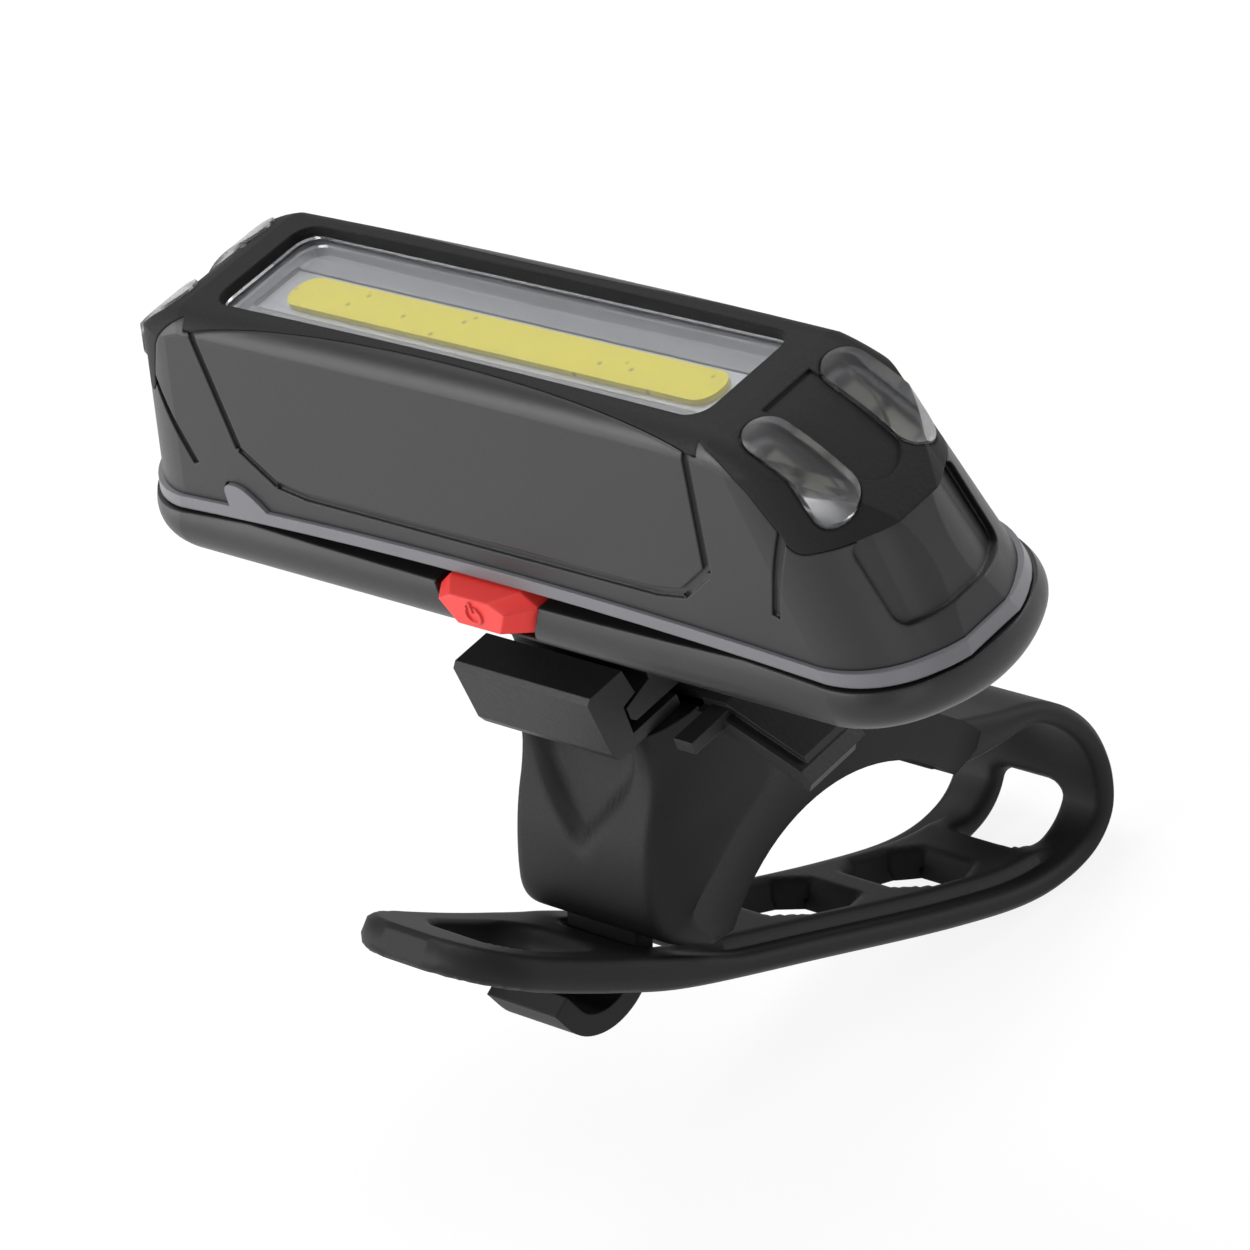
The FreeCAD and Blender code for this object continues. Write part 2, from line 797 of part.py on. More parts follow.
def build_tray():
    """The silver tray: walls that slope down to a floor with a slot for the strip board."""
    flange = size["pane_flange"].value
    length = size["window_length"].value + 2 * flange
    width = size["window_width"].value + 2 * flange
    low = tray_bottom.value
    high = tray_top.value
    block = rounded_slab(length, width, size["window_corner"].value, low, high)
    rim = 0.5
    well_low = tray_floor.value
    upper = Part.makePolygon(corner_loop(length / 2 - flange, width / 2 - flange, high + 0.01))
    lower = Part.makePolygon(corner_loop(length / 2 - flange - 2.2 + rim, width / 2 - flange - 1.9 + rim, well_low))
    well = Part.makeLoft([lower, upper], True, True)
    slot = Part.makeBox(size["strip_length"].value + 5.0 + 0.3, size["strip_board_width"].value + 0.3, 10,
                        Vector(-(size["strip_length"].value + 5.3) / 2,
                               -(size["strip_board_width"].value + 0.3) / 2, low - 5))
    return block.cut(well).cut(slot)


def corner_loop(x, y, height):
    """A closed loop of a rectangle at one height."""
    corners = [(-x, -y), (x, -y), (x, y), (-x, y), (-x, -y)]
    return [Vector(a, b, height) for a, b in corners]


shape_node("window_cover", build_window())
shape_node("reflector_tray", build_tray())

board_reach = size["strip_length"] / 2 + 2.5
strip_board = box("strip_board",
                  (-board_reach, -size["strip_board_width"] / 2, strip_bottom - size["strip_board_thickness"]),
                  (board_reach, size["strip_board_width"] / 2, strip_bottom))
add_node(strip_board, "strip_board")


def build_strip():
    """The light strip: a flat bead with round ends."""
    return rounded_slab(size["strip_length"].value, size["strip_width"].value,
                        size["strip_width"].value * 0.45, strip_bottom.value, strip_top.value)


shape_node("light_strip", build_strip())

spreader = box("heat_spreader",
               (-board_reach - 2, -size["strip_board_width"] / 2 - 1.6, spreader_bottom),
               (board_reach + 2, size["strip_board_width"] / 2 + 1.6, spreader_top))
add_node(spreader, "heat_spreader")


# End lenses, their signal boards, reflector cups and LEDs

def build_lens():
    """The front right lens: an oval that follows the end's curve, with a flange inside the bezel."""
    inside = size["wall"].value + size["seam"].value
    back = form(inside + size["lens_flange"].value)
    core = oval(size["lens_length"].value - 0.2, size["lens_width"].value - 0.2, -3.3, 6)
    rim = oval(size["lens_length"].value + 1.2, size["lens_width"].value + 1.2, -3.3, 6)
    core = on_nose(core, 1, -1).common(form(-size["lens_proud"].value)).cut(back)
    rim = on_nose(rim, 1, -1).common(form(inside)).cut(back)
    return largest(core.fuse(rim))


def lens_copy(lens, side_x, side_y):
    """The same lens at another of the four places."""
    copy = lens.copy()
    if side_y > 0:
        copy = copy.mirror(Vector(0, 0, 0), Vector(0, 1, 0))
    if side_x < 0:
        copy = copy.mirror(Vector(0, 0, 0), Vector(1, 0, 0))
    return copy


def build_cup(side_x, side_y):
    """A reflector cup behind one end lens."""
    low = -signal_drop() + size["signal_board_thickness"].value + 0.05
    outer = oval(size["lens_length"].value - 2.2, size["lens_width"].value - 0.4, low, -3.6)
    inner = oval(size["lens_length"].value - 3.4, size["lens_width"].value - 1.4, low - 1, 0)
    return on_nose(outer.cut(inner), side_x, side_y)


def signal_drop():
    """Depth of a signal board's underside below the tangent of the end slope."""
    return 6.2


right_lens = build_lens()
for end_name, side_x in ENDS:
    for side_name, side_y in SIDES:
        shape_node(end_name + "_lens_" + side_name, lens_copy(right_lens, side_x, side_y))

for end_name, side_x in ENDS:
    length = size["signal_board_length"].value
    width = size["signal_board_width"].value
    depth = -signal_drop()
    board = Part.makeBox(length, width, size["signal_board_thickness"].value,
                         Vector(-length / 2, -width / 2, depth))
    inside = form(size["wall"].value + 0.15)
    shape_node(end_name + "_signal_board", on_nose(board, side_x, 0).common(inside))
    cups = [build_cup(side_x, side_y) for name, side_y in SIDES]
    shape_node(end_name + "_reflector_cups", Part.makeCompound(cups))
    chips = []
    for name, side_y in SIDES:
        for along in (-1.85, 1.85):
            chip_size = size["led_size"].value
            chip = Part.makeBox(chip_size, chip_size, size["led_thickness"].value,
                                Vector(along - chip_size / 2, -chip_size / 2,
                                       depth + size["signal_board_thickness"].value + 0.02))
            chips.append(on_nose(chip, side_x, side_y))
    shape_node(end_name + "_signal_leds", Part.makeCompound(chips))


# The seam: light guide ring, seal, and the lower shell with its button opening

shell_levels = [(0.0, 0.0), (1.7, 0.75), (3.6, 0.85), (5.6, -0.6), (6.9, -3.3)]


def lower_form(inset):
    """The lower shell's form: it bulges past the ring and turns in to the flat bottom."""
    top = -(size["ring_height"].value + 0.9)
    depth = size["shell_depth"].value + top
    wires = []
    for drop, grow in shell_levels:
        height = top - drop * depth / 6.9
        spread = grow + size["shell_bulge"].value * 0.35 - inset
        width = half_width.value + spread
        length = half_length.value + spread * (1.0 if grow > -1 else 1.25)
        if drop == shell_levels[-1][0]:
            height = height + inset
        wires.append(plan_wire(length, width, height))
    body = Part.makeLoft(wires, True, False)
    lid = Part.makeLoft([wires[0], lifted(wires[0], 3.0)], True, True)
    return body.fuse(lid)


def lifted(wire, height):
    """A copy of a wire, moved up."""
    copy = wire.copy()
    copy.translate(Vector(0, 0, height))
    return copy


def button_prism(grow, front, back):
    """The button's six-sided outline, run through the near wall."""
    half = size["button_width"].value / 2 + grow
    low = button_bottom.value - grow
    high = button_top.value + grow
    middle = (low + high) / 2
    points = [(-half, middle + 0.9), (-half + 1.9, high), (half - 1.9, high), (half, middle + 0.9),
              (half - 1.6, low), (-half + 1.6, low)]
    corners = [Vector(x, front, z) for x, z in points]
    wire = Part.makePolygon(corners + [corners[0]])
    return Part.Face(wire).extrude(Vector(0, back - front, 0))


def build_ring():
    """The light guide ring: a thin band between the shells with a bump on the near side."""
    drop = size["ring_thickness"].value
    band = form(-size["ring_proud"].value).cut(form(size["ring_width"].value))
    ring = band.common(below_band(0)).cut(below_band(drop))
    ring = ring.fuse(bump_shape(0))
    return largest(ring.removeSplitter())


def build_seal():
    """The seal: a thin band under the ring with a skirt inside the lower shell."""
    drop = size["ring_thickness"].value
    thick = size["seal_thickness"].value
    band = form(0.05).cut(form(size["ring_width"].value + 0.4))
    seal = band.common(below_band(drop)).cut(below_band(drop + thick))
    skirt = form(1.9).cut(form(1.9 + size["seal_skirt"].value))
    skirt = skirt.common(below_band(drop + thick - 0.05)).cut(below_band(drop + 2.2))
    skirt = skirt.cut(button_prism(1.3, -16, -4))
    seal = seal.fuse(skirt)
    mouth = Part.makeBox(20, size["socket_width"].value + 1, 8,
                         Vector(-62, -size["socket_width"].value / 2 - 0.5, board_top.value - 1))
    mouth = mouth.cut(below_band(-5).cut(below_band(drop + thick)))
    seal = seal.cut(mouth)
    return largest(seal.cut(button_prism(0.5, -16, -4)).removeSplitter())


def build_lower_shell():
    """The lower shell: a deep dish with the button opening and the lowered edge round it."""
    edge_drop = size["ring_thickness"].value + size["seal_thickness"].value
    dish = lower_form(0).cut(lower_form(size["wall"].value))
    dish = dish.common(below_band(edge_drop))
    reach = size["relief_reach"].value
    deep = size["relief_depth"].value
    edge = band_curve(edge_drop)[1].z
    corner = edge - size["ring_sag"].value * (reach / (half_length.value + 3)) ** 2
    relief = [
        Part.Arc(Vector(-reach, 0, corner), Vector(0, 0, edge - deep), Vector(reach, 0, corner)).toShape(),
        Part.LineSegment(Vector(reach, 0, corner), Vector(reach, 0, edge + 2)).toShape(),
        Part.LineSegment(Vector(reach, 0, edge + 2), Vector(-reach, 0, edge + 2)).toShape(),
        Part.LineSegment(Vector(-reach, 0, edge + 2), Vector(-reach, 0, corner)).toShape(),
    ]
    near = Part.makeBox(120, 20, 60, Vector(-60, -20, -40))
    dish = dish.cut(side_slab(relief).common(near))
    dish = dish.cut(button_prism(size["button_gap"].value, -16, -5))
    dish = dish.fuse(lower_supports())
    for side_x in (-1, 1):
        for side_y in (-1, 1):
            x = side_x * size["screw_reach"].value
            y = side_y * size["screw_side"].value
            bore = Part.makeCylinder(size["screw_diameter"].value / 2 + 0.1, 20, Vector(x, y, -30))
            sink = Part.makeCylinder(size["screw_head"].value / 2 + 0.15, size["head_height"].value + 2.1,
                                     Vector(x, y, shell_bottom.value - 2))
            dish = dish.cut(bore).cut(sink)
    for side_y in (-1, 1):
        spot = Vector(-size["foot_screw_place"].value, side_y * size["foot_screw_side"].value,
                      shell_bottom.value - 1)
        dish = dish.cut(Part.makeCylinder(size["screw_diameter"].value / 2 + 0.1, 8, spot))
    port = Part.makeBox(12, size["socket_width"].value + 0.6, size["socket_height"].value + 0.2,
                        Vector(-56, -size["socket_width"].value / 2 - 0.3,
                              socket_middle() - size["socket_height"].value / 2 - 0.1))
    return largest(dish.cut(port).cut(cover_seat()))


def lower_supports():
    """Screw bosses and ribs inside the lower shell; the ribs carry the main board."""
    floor = shell_bottom.value + size["wall"].value
    pieces = []
    for side_x in (-1, 1):
        for side_y in (-1, 1):
            x = side_x * size["screw_reach"].value
            y = side_y * size["screw_side"].value
            pieces.append(Part.makeCylinder(size["boss_diameter"].value / 2, board_top.value + 0.1 - floor + 1.2,
                                            Vector(x, y, floor - 1.2)))
        rib = Part.makeBox(1.2, size["board_width"].value, board_bottom.value - 0.05 - floor + 0.3,
                           Vector(side_x * 28.0 - 0.6, -size["board_width"].value / 2, floor - 0.3))
        pieces.append(rib)
    for side_y in (-1, 1):
        spot = Vector(-size["foot_screw_place"].value, side_y * size["foot_screw_side"].value, floor - 0.3)
        pieces.append(Part.makeCylinder(1.9, board_bottom.value - 0.05 - floor + 0.3, spot))
    return pieces[0].multiFuse(pieces[1:])


def cover_seat():
    """The shallow seat of the socket cover in the rear end wall."""
    half = size["cover_width"].value / 2 + 0.2
    low = socket_middle() - size["cover_height"].value / 2 - 0.2
    depth = size["cover_thickness"].value
    block = Part.makeBox(10, 2 * half, size["cover_height"].value + 0.4, Vector(-half_length.value - 6, -half, low))
    return block.common(lower_form(-2).cut(lower_form(depth * 0.9)))


def socket_middle():
    """Height of the middle of the charging socket."""
    return board_bottom.value - size["socket_height"].value / 2 - 0.05


shape_node("light_guide_ring", build_ring())
shape_node("shell_seal", build_seal())
shape_node("lower_shell", build_lower_shell())


# Electronics inside the lower shell

def build_cell():
    """The round rechargeable cell, with its small positive cap."""
    length = size["cell_length"].value
    radius = size["cell_diameter"].value / 2
    depth = -size["cell_depth"].value
    can = Part.makeCylinder(radius, length - 1.2, Vector(-length / 2, 0, depth), Vector(1, 0, 0))
    can = can.makeFillet(0.6, can.Edges[0:1] + can.Edges[2:3])
    cap = Part.makeCylinder(radius * 0.4, 1.4, Vector(length / 2 - 1.4, 0, depth), Vector(1, 0, 0))
    return can.fuse(cap)


def build_cradle():
    """Two saddles that stand on the main board and carry the cell."""
    width = size["cradle_width"].value
    radius = size["cell_diameter"].value / 2
    depth = -size["cell_depth"].value
    low = board_top.value + 0.05
    saddles = []
    for place in (-24.0, 24.0):
        block = Part.makeBox(width, 11.0, depth - 3.5 - low, Vector(place - width / 2, -5.5, low))
        bore = Part.makeCylinder(radius + 0.15, width + 2, Vector(place - width / 2 - 1, 0, depth),
                                 Vector(1, 0, 0))
        saddles.append(block.cut(bore))
    return Part.makeCompound(saddles)


shape_node("battery_cell", build_cell())
shape_node("cell_cradle", build_cradle())


def build_main_board():
    """The main board, with clear holes for the shell screws' bosses."""
    length = size["board_length"].value
    width = size["board_width"].value
    thickness = size["board_thickness"].value
    board = Part.makeBox(length, width, thickness,
                         Vector(-length / 2 - size["board_shift"].value, -width / 2, board_bottom.value))
    uprights = [edge for edge in board.Edges if abs(edge.tangentAt(edge.FirstParameter).z) > 0.9]
    board = board.makeFillet(size["board_corner"].value, uprights)
    for side_x in (-1, 1):
        for side_y in (-1, 1):
            centre = Vector(side_x * size["screw_reach"].value, side_y * size["screw_side"].value,
                            board_bottom.value - 1)
            board = board.cut(Part.makeCylinder(size["boss_diameter"].value / 2 + 0.15, 3, centre))
    notch = Part.makeBox(size["switch_size"].value + 0.3, 5, 3,
                         Vector(-size["switch_size"].value / 2 - 0.15, -width / 2 - 2.4,
                                board_bottom.value - 1))
    return board.cut(notch)


shape_node("main_board", build_main_board())

socket = new_body("charging_socket")
socket_rear = -(size["board_length"] / 2 + size["board_shift"] + size["socket_reach"])
socket_low = board_bottom - size["socket_height"] - 0.05
sketch = new_sketch(socket, "SocketShell", "YZ_Plane", socket_rear)
rectangle(sketch, -size["socket_width"] / 2, size["socket_width"] / 2,
          socket_low, socket_low + size["socket_height"])
pad(socket, "SocketBlock", sketch, size["socket_length"])
round_edges(socket, "SocketRound", size["socket_height"] * 0.45,
            lambda middle, edge: abs(edge.tangentAt(edge.FirstParameter).x) > 0.9)
sketch = new_sketch(socket, "SocketMouth", "YZ_Plane", socket_rear)
rectangle(sketch, -size["socket_width"] / 2 + 0.5, size["socket_width"] / 2 - 0.5,
          socket_low + 0.5, socket_low + size["socket_height"] - 0.5)
pocket(socket, "SocketHollow", sketch, size["socket_length"] - 1.2, reverse=True)
sketch = new_sketch(socket, "SocketTongue", "YZ_Plane", socket_rear + 0.8)
rectangle(sketch, -size["socket_width"] / 2 + 1.3, size["socket_width"] / 2 - 1.3,
          socket_low + size["socket_height"] / 2 - 0.35, socket_low + size["socket_height"] / 2 + 0.35)
pad(socket, "SocketBlade", sketch, size["socket_length"] - 1.5)
add_node(socket, "charging_socket")


def build_cover():
    """The rubber cover of the socket: a flap that follows the end wall and hangs on a narrow hinge.

    Its lower corners are cut off, because they would dig into the rounded wall when it opens.
    """
    half = size["cover_width"].value / 2
    hinge = size["cover_hinge"].value / 2
    low = socket_middle() - size["cover_height"].value / 2
    high = low + size["cover_height"].value
    corner = low + size["cover_corner"].value
    flap = [(-half, high), (half, high), (half, corner), (hinge, low), (-hinge, low), (-half, corner), (-half, high)]
    outline = Part.makePolygon([Vector(-half_length.value - 6, y, z) for y, z in flap])
    plate = Part.Face(outline).extrude(Vector(10, 0, 0))
    depth = size["cover_thickness"].value
    plate = plate.common(lower_form(-0.35).cut(lower_form(depth * 0.9 - 0.2)))
    return largest(plate)


shape_node("socket_cover", build_cover())

switch_front = -(half_width - size["wall"] - 0.9 - size["button_travel"])
switch = box("button_switch",
             (-size["switch_size"] / 2, switch_front, board_bottom - 1.2),
             (size["switch_size"] / 2, switch_front + 2.8, board_bottom + 1.9))
add_node(switch, "button_switch")


# Power button: a six-sided cap with slanted ends, a flange behind the wall and a raised power symbol

def build_button():
    """The button's cap narrows to its face; a flange keeps it in the wall."""
    base_y = -(half_width.value + 0.35)
    face_y = base_y - size["button_proud"].value
    back_y = -(half_width.value - size["wall"].value - 0.35)
    middle = (button_top.value + button_bottom.value) / 2 + 0.35
    base = button_loop(size["button_width"].value / 2, button_bottom.value, button_top.value, base_y)
    face = button_loop(size["button_face"].value / 2, button_bottom.value + 0.95, button_top.value - 0.1, face_y)
    back = button_loop(size["button_width"].value / 2, button_bottom.value, button_top.value, back_y)
    cap = Part.makeLoft([base, face], True, True)
    stem = Part.makeLoft([back, base], True, True)
    flange = button_loop(size["button_width"].value / 2 + 0.9, button_bottom.value - 0.5,
                         button_top.value - 0.3, back_y)
    behind = flange.copy()
    behind.translate(Vector(0, size["button_flange"].value, 0))
    button = stem.fuse(cap).fuse(Part.makeLoft([flange, behind], True, True))
    reach = switch_front.value - size["button_travel"].value - 0.05 - back_y
    plunger = Part.makeCylinder(1.2, reach, Vector(0, back_y, middle), Vector(0, 1, 0))
    symbol = power_symbol(face_y, middle)
    return button.fuse(plunger).fuse(symbol).removeSplitter()


def button_loop(half, low, high, y):
    """The button's outline at one depth."""
    middle = (low + high) / 2
    slant = 1.8
    points = [(-half, middle + 0.7), (-half + slant, high), (half - slant, high),
              (half, middle + 0.7), (half - slant * 0.8, low), (-half + slant * 0.8, low)]
    corners = [Vector(x, y, z) for x, z in points]
    return Part.makePolygon(corners + [corners[0]])


def power_symbol(face_y, middle):
    """The usual power symbol: a ring open at the top and a short bar in the opening."""
    raised = 0.2
    ring = Part.makeCylinder(1.05, raised + 0.2, Vector(0, face_y - raised, middle), Vector(0, 1, 0))
    hole = Part.makeCylinder(0.75, raised + 0.4, Vector(0, face_y - raised - 0.1, middle), Vector(0, 1, 0))
    gap = Part.makeBox(0.9, raised + 0.4, 1.3, Vector(-0.45, face_y - raised - 0.1, middle + 0.2))
    bar = Part.makeBox(0.3, raised + 0.2, 1.1, Vector(-0.15, face_y - raised, middle + 0.25))
    return ring.cut(hole).cut(gap).fuse(bar)


shape_node("power_button", build_button())


# Screws, one drawing for each kind

def screw(head, length):
    """A pan-head screw with a cross-shaped drive, its head at height zero."""
    shank = Part.makeCylinder(size["screw_diameter"].value / 2, length, Vector(0, 0, 0))
    high = size["head_height"].value
    cap = Part.makeCylinder(head / 2, high, Vector(0, 0, -high))
    rims = [edge for edge in cap.Edges if edge.CenterOfMass.z < -high + 0.1 and len(edge.Vertexes) == 1]
    cap = cap.makeFillet(0.35, rims)
    whole = shank.fuse(cap)
    for turn in (0, 90):
        slot = Part.makeBox(head * 0.6, 0.5, 0.8, Vector(-head * 0.3, -0.25, -high - 0.05))
        slot.rotate(Vector(0, 0, 0), Vector(0, 0, 1), turn)
        whole = whole.cut(slot)
    return whole


def shell_screws():
    """Four screws that hold the lower shell to the bosses of the upper one."""
    copies = []
    for side_x in (-1, 1):
        for side_y in (-1, 1):
            copy = screw(size["screw_head"].value, size["screw_length"].value)
            copy.translate(Vector(side_x * size["screw_reach"].value, side_y * size["screw_side"].value,
                                  shell_bottom.value + size["head_height"].value + 0.08))
            copies.append(copy)
    return Part.makeCompound(copies)


shape_node("shell_screws", shell_screws())


# Slide foot: a T-shaped foot screwed to the underside of the light

foot = new_body("slide_foot")
foot_half = size["foot_width"] / 2
stem_half = size["foot_stem"] / 2
sketch = new_sketch(foot, "FootSection", "YZ_Plane")
outline(sketch, [
    (-stem_half, shell_bottom),
    (-stem_half, foot_top + size["foot_slant"]),
    (-foot_half, foot_top),
    (-foot_half, foot_bottom + size["edge_break"]),
    (-foot_half + size["edge_break"], foot_bottom),
    (foot_half - size["edge_break"], foot_bottom),
    (foot_half, foot_bottom + size["edge_break"]),
    (foot_half, foot_top),
    (stem_half, foot_top + size["foot_slant"]),
    (stem_half, shell_bottom),
])
pad(foot, "FootBar", sketch, size["foot_length"], both_ways=True)
sketch = new_sketch(foot, "LatchNotch", "XZ_Plane")
rectangle(sketch, size["tooth_place"] - size["tooth_length"] / 2 - size["slide_gap"],
          size["tooth_place"] + size["tooth_length"] / 2 + size["slide_gap"],
          foot_bottom - 1, base_top + size["tooth_height"] + size["slide_gap"])
pocket(foot, "LatchRecess", sketch, size["tongue_neck"] + size["slide_gap"] * 2, both_ways=True)
for level, radius in (("Bore", size["screw_diameter"] / 2 + 0.1), ("Sink", size["screw_head"] / 2 + 0.15)):
    sketch = new_sketch(foot, "Screw" + level, "XY_Plane", foot_bottom - 1)
    for side in (-1, 1):
        circle(sketch, (-size["foot_screw_place"], size["foot_screw_side"] * side), radius)
    deep = size["shell_depth"] if level == "Bore" else size["head_height"] + 1.05
    pocket(foot, "Screw" + level + "Cut", sketch, deep, reverse=True)
add_node(foot, "slide_foot")


def foot_screws():
    """Two screws that hold the foot to the lower shell."""
    copies = []
    for side in (-1, 1):
        copy = screw(size["screw_head"].value, size["foot_screw_length"].value)
        copy.translate(Vector(-size["foot_screw_place"].value, side * size["foot_screw_side"].value,
                              foot_bottom.value + size["head_height"].value))
        copies.append(copy)
    return Part.makeCompound(copies)


shape_node("foot_screws", foot_screws())


# Bracket: a channel whose two rails hold the foot, with anchors moulded into the saddle

base = new_body("bracket_base")
rail_half = size["rail_width"] / 2
mouth_half = size["rail_mouth"] / 2
groove_half = foot_half + size["slide_gap"]
rail_top = -size["rail_top"]
lip_low = foot_top + size["slide_gap"]
sketch = new_sketch(base, "Channel", "YZ_Plane")
outline(sketch, [
    (-rail_half + size["edge_break"] * 2, base_bottom),
    (-rail_half + size["edge_break"], base_top - size["slide_gap"]),
    (-rail_half, rail_top - size["edge_break"]),
    (-rail_half + size["edge_break"], rail_top),
    (-mouth_half - size["edge_break"], rail_top),
    (-mouth_half, lip_low + size["foot_slant"] / 2),
    (-groove_half, lip_low),
    (-groove_half, base_top),
    (groove_half, base_top),
    (groove_half, lip_low),
    (mouth_half, lip_low + size["foot_slant"] / 2),
    (mouth_half + size["edge_break"], rail_top),
    (rail_half - size["edge_break"], rail_top),
    (rail_half, rail_top - size["edge_break"]),
    (rail_half - size["edge_break"], base_top - size["slide_gap"]),
    (rail_half - size["edge_break"] * 2, base_bottom),
])
pad(base, "Rails", sketch, size["rail_length"], both_ways=True)
sketch = new_sketch(base, "TongueSlot", "XY_Plane", base_bottom - 1)
rectangle(sketch, -size["tongue_hinge"], size["rail_length"] / 2 + 1,
          -size["tongue_slot"] / 2, size["tongue_slot"] / 2)
pocket(base, "TongueOpening", sketch, size["base_thickness"] + 2, reverse=True)
for side in (-1, 1):
    name = "Left" if side > 0 else "Right"
    near = size["anchor_inside"] * side
    far = (size["anchor_inside"] + size["anchor_width"]) * side
    sketch = new_sketch(base, name + "AnchorSection", "YZ_Plane")
    outline(sketch, [
        (near, base_bottom + 0.1),
        (near, base_bottom - size["anchor_neck"]),
        (near - size["anchor_reach"] * side, base_bottom - size["anchor_neck"]),
        (near - size["anchor_reach"] * side, base_bottom - size["anchor_neck"] - size["anchor_thickness"]),
        (far + size["anchor_reach"] * side, base_bottom - size["anchor_neck"] - size["anchor_thickness"]),
        (far + size["anchor_reach"] * side, base_bottom - size["anchor_neck"]),
        (far, base_bottom - size["anchor_neck"]),
        (far, base_bottom + 0.1),
    ])
    pad(base, name + "Anchor", sketch, size["anchor_length"], both_ways=True)
add_node(base, "bracket_base")


# Latch tongue: a springy neck with a tooth for the foot, two ears and a sloping thumb plate

tongue = new_body("latch_tongue")
neck_half = size["tongue_neck"] / 2
neck_low = base_bottom + 0.1
neck_high = base_top - 0.2
bend = size["tongue_bend"]
slope_run = size["tongue_end"] - bend
slope_rise = slope_run * size["tongue_fall"]
tip_low = neck_low - slope_rise
tip_high = neck_high - slope_rise
sketch = new_sketch(tongue, "NeckSide", "XZ_Plane")
outline(sketch, [
    (-size["tongue_hinge"] + size["slide_gap"], neck_low),
    (bend - size["ear_width"] / 2, neck_low),
    (bend - size["ear_width"] / 2, neck_high),
    (size["tooth_place"] + size["tooth_length"] / 2, neck_high),
    (size["tooth_place"] + size["tooth_length"] / 2 - 0.4, neck_high + size["tooth_height"]),
    (size["tooth_place"] - size["tooth_length"] / 2 + 0.2, neck_high + size["tooth_height"]),
    (size["tooth_place"] - size["tooth_length"] / 2, neck_high),
    (-size["tongue_hinge"] + size["slide_gap"], neck_high),
])
pad(tongue, "Neck", sketch, size["tongue_neck"], both_ways=True)
sketch = new_sketch(tongue, "EarPlan", "XY_Plane", neck_low)
rectangle(sketch, bend - size["ear_width"] / 2, bend + size["ear_width"] / 2, -size["ear_reach"], size["ear_reach"])
pad(tongue, "Ears", sketch, size["ear_height"])
sketch = new_sketch(tongue, "PlateSide", "XZ_Plane")
outline(sketch, [
    (bend - size["ear_width"], neck_low - 0.3),
    (bend, neck_low - 0.5),
    (size["tongue_end"], tip_low - 0.5),
    (size["tongue_end"] + size["pad_lean"], tip_low - 0.3),
    (size["tongue_end"] + 0.4, tip_high),
    (bend + 0.6, neck_high),
    (bend - size["ear_width"], neck_high),
])
pad(tongue, "ThumbPlate", sketch, size["tongue_width"], both_ways=True)
sketch = new_sketch(tongue, "PlateauSide", "XZ_Plane")
outline(sketch, [
    (bend - size["ear_width"], neck_high - 0.2),
    (bend + 0.6, neck_high - 0.3),
    (size["tongue_end"] + 0.3, tip_high - 0.3),
    (size["tongue_end"], tip_high + size["tongue_rise"]),
    (bend + 0.6, neck_high + size["tongue_rise"]),
    (bend - size["ear_width"], neck_high + size["tongue_rise"]),
])
pad(tongue, "ThumbPlateau", sketch, size["tongue_width"] - size["plateau_step"] * 2, both_ways=True)
sketch = new_sketch(tongue, "LipSide", "XZ_Plane")
outline(sketch, [
    (size["tongue_end"] - 2.6, tip_low + 0.2),
    (size["tongue_end"] - 2.0, tip_low - 1.5),
    (size["tongue_end"] - 0.2, tip_low - 1.8),
    (size["tongue_end"] + 0.6, tip_low - 0.4),
])
pad(tongue, "ThumbLip", sketch, size["tongue_width"] - 1.2, both_ways=True)
add_node(tongue, "latch_tongue")


# Saddle and strap: one rubber moulding, drawn in the plane across the bar

seat_y = size["seat_offset"].value
seat_z = -size["seat_depth"].value
seat_radius = size["seat_radius"].value


def yz(y, z):
    """A point of the section across the bar."""
    return Vector(0, y, z)


def spline_edge(points, start_tangent=None, end_tangent=None):
    """A smooth edge through points."""
    curve = Part.BSplineCurve()
    if start_tangent is None:
        curve.interpolate(points)
    else:
        curve.interpolate(points, InitialTangent=start_tangent, FinalTangent=end_tangent)
    return curve.toShape()


def bar_slab(edges, width):
    """A slab along the bar from a closed outline."""
    face = Part.Face(Part.Wire(Part.__sortEdges__(edges)))
    face.translate(Vector(-width / 2, 0, 0))
    return face.extrude(Vector(width, 0, 0))


def seat_point(degrees):
    """A point on the seat's arc; zero is straight above the bar."""
    turn = math.radians(degrees)
    return yz(seat_y + seat_radius * math.sin(turn), seat_z + seat_radius * math.cos(turn))


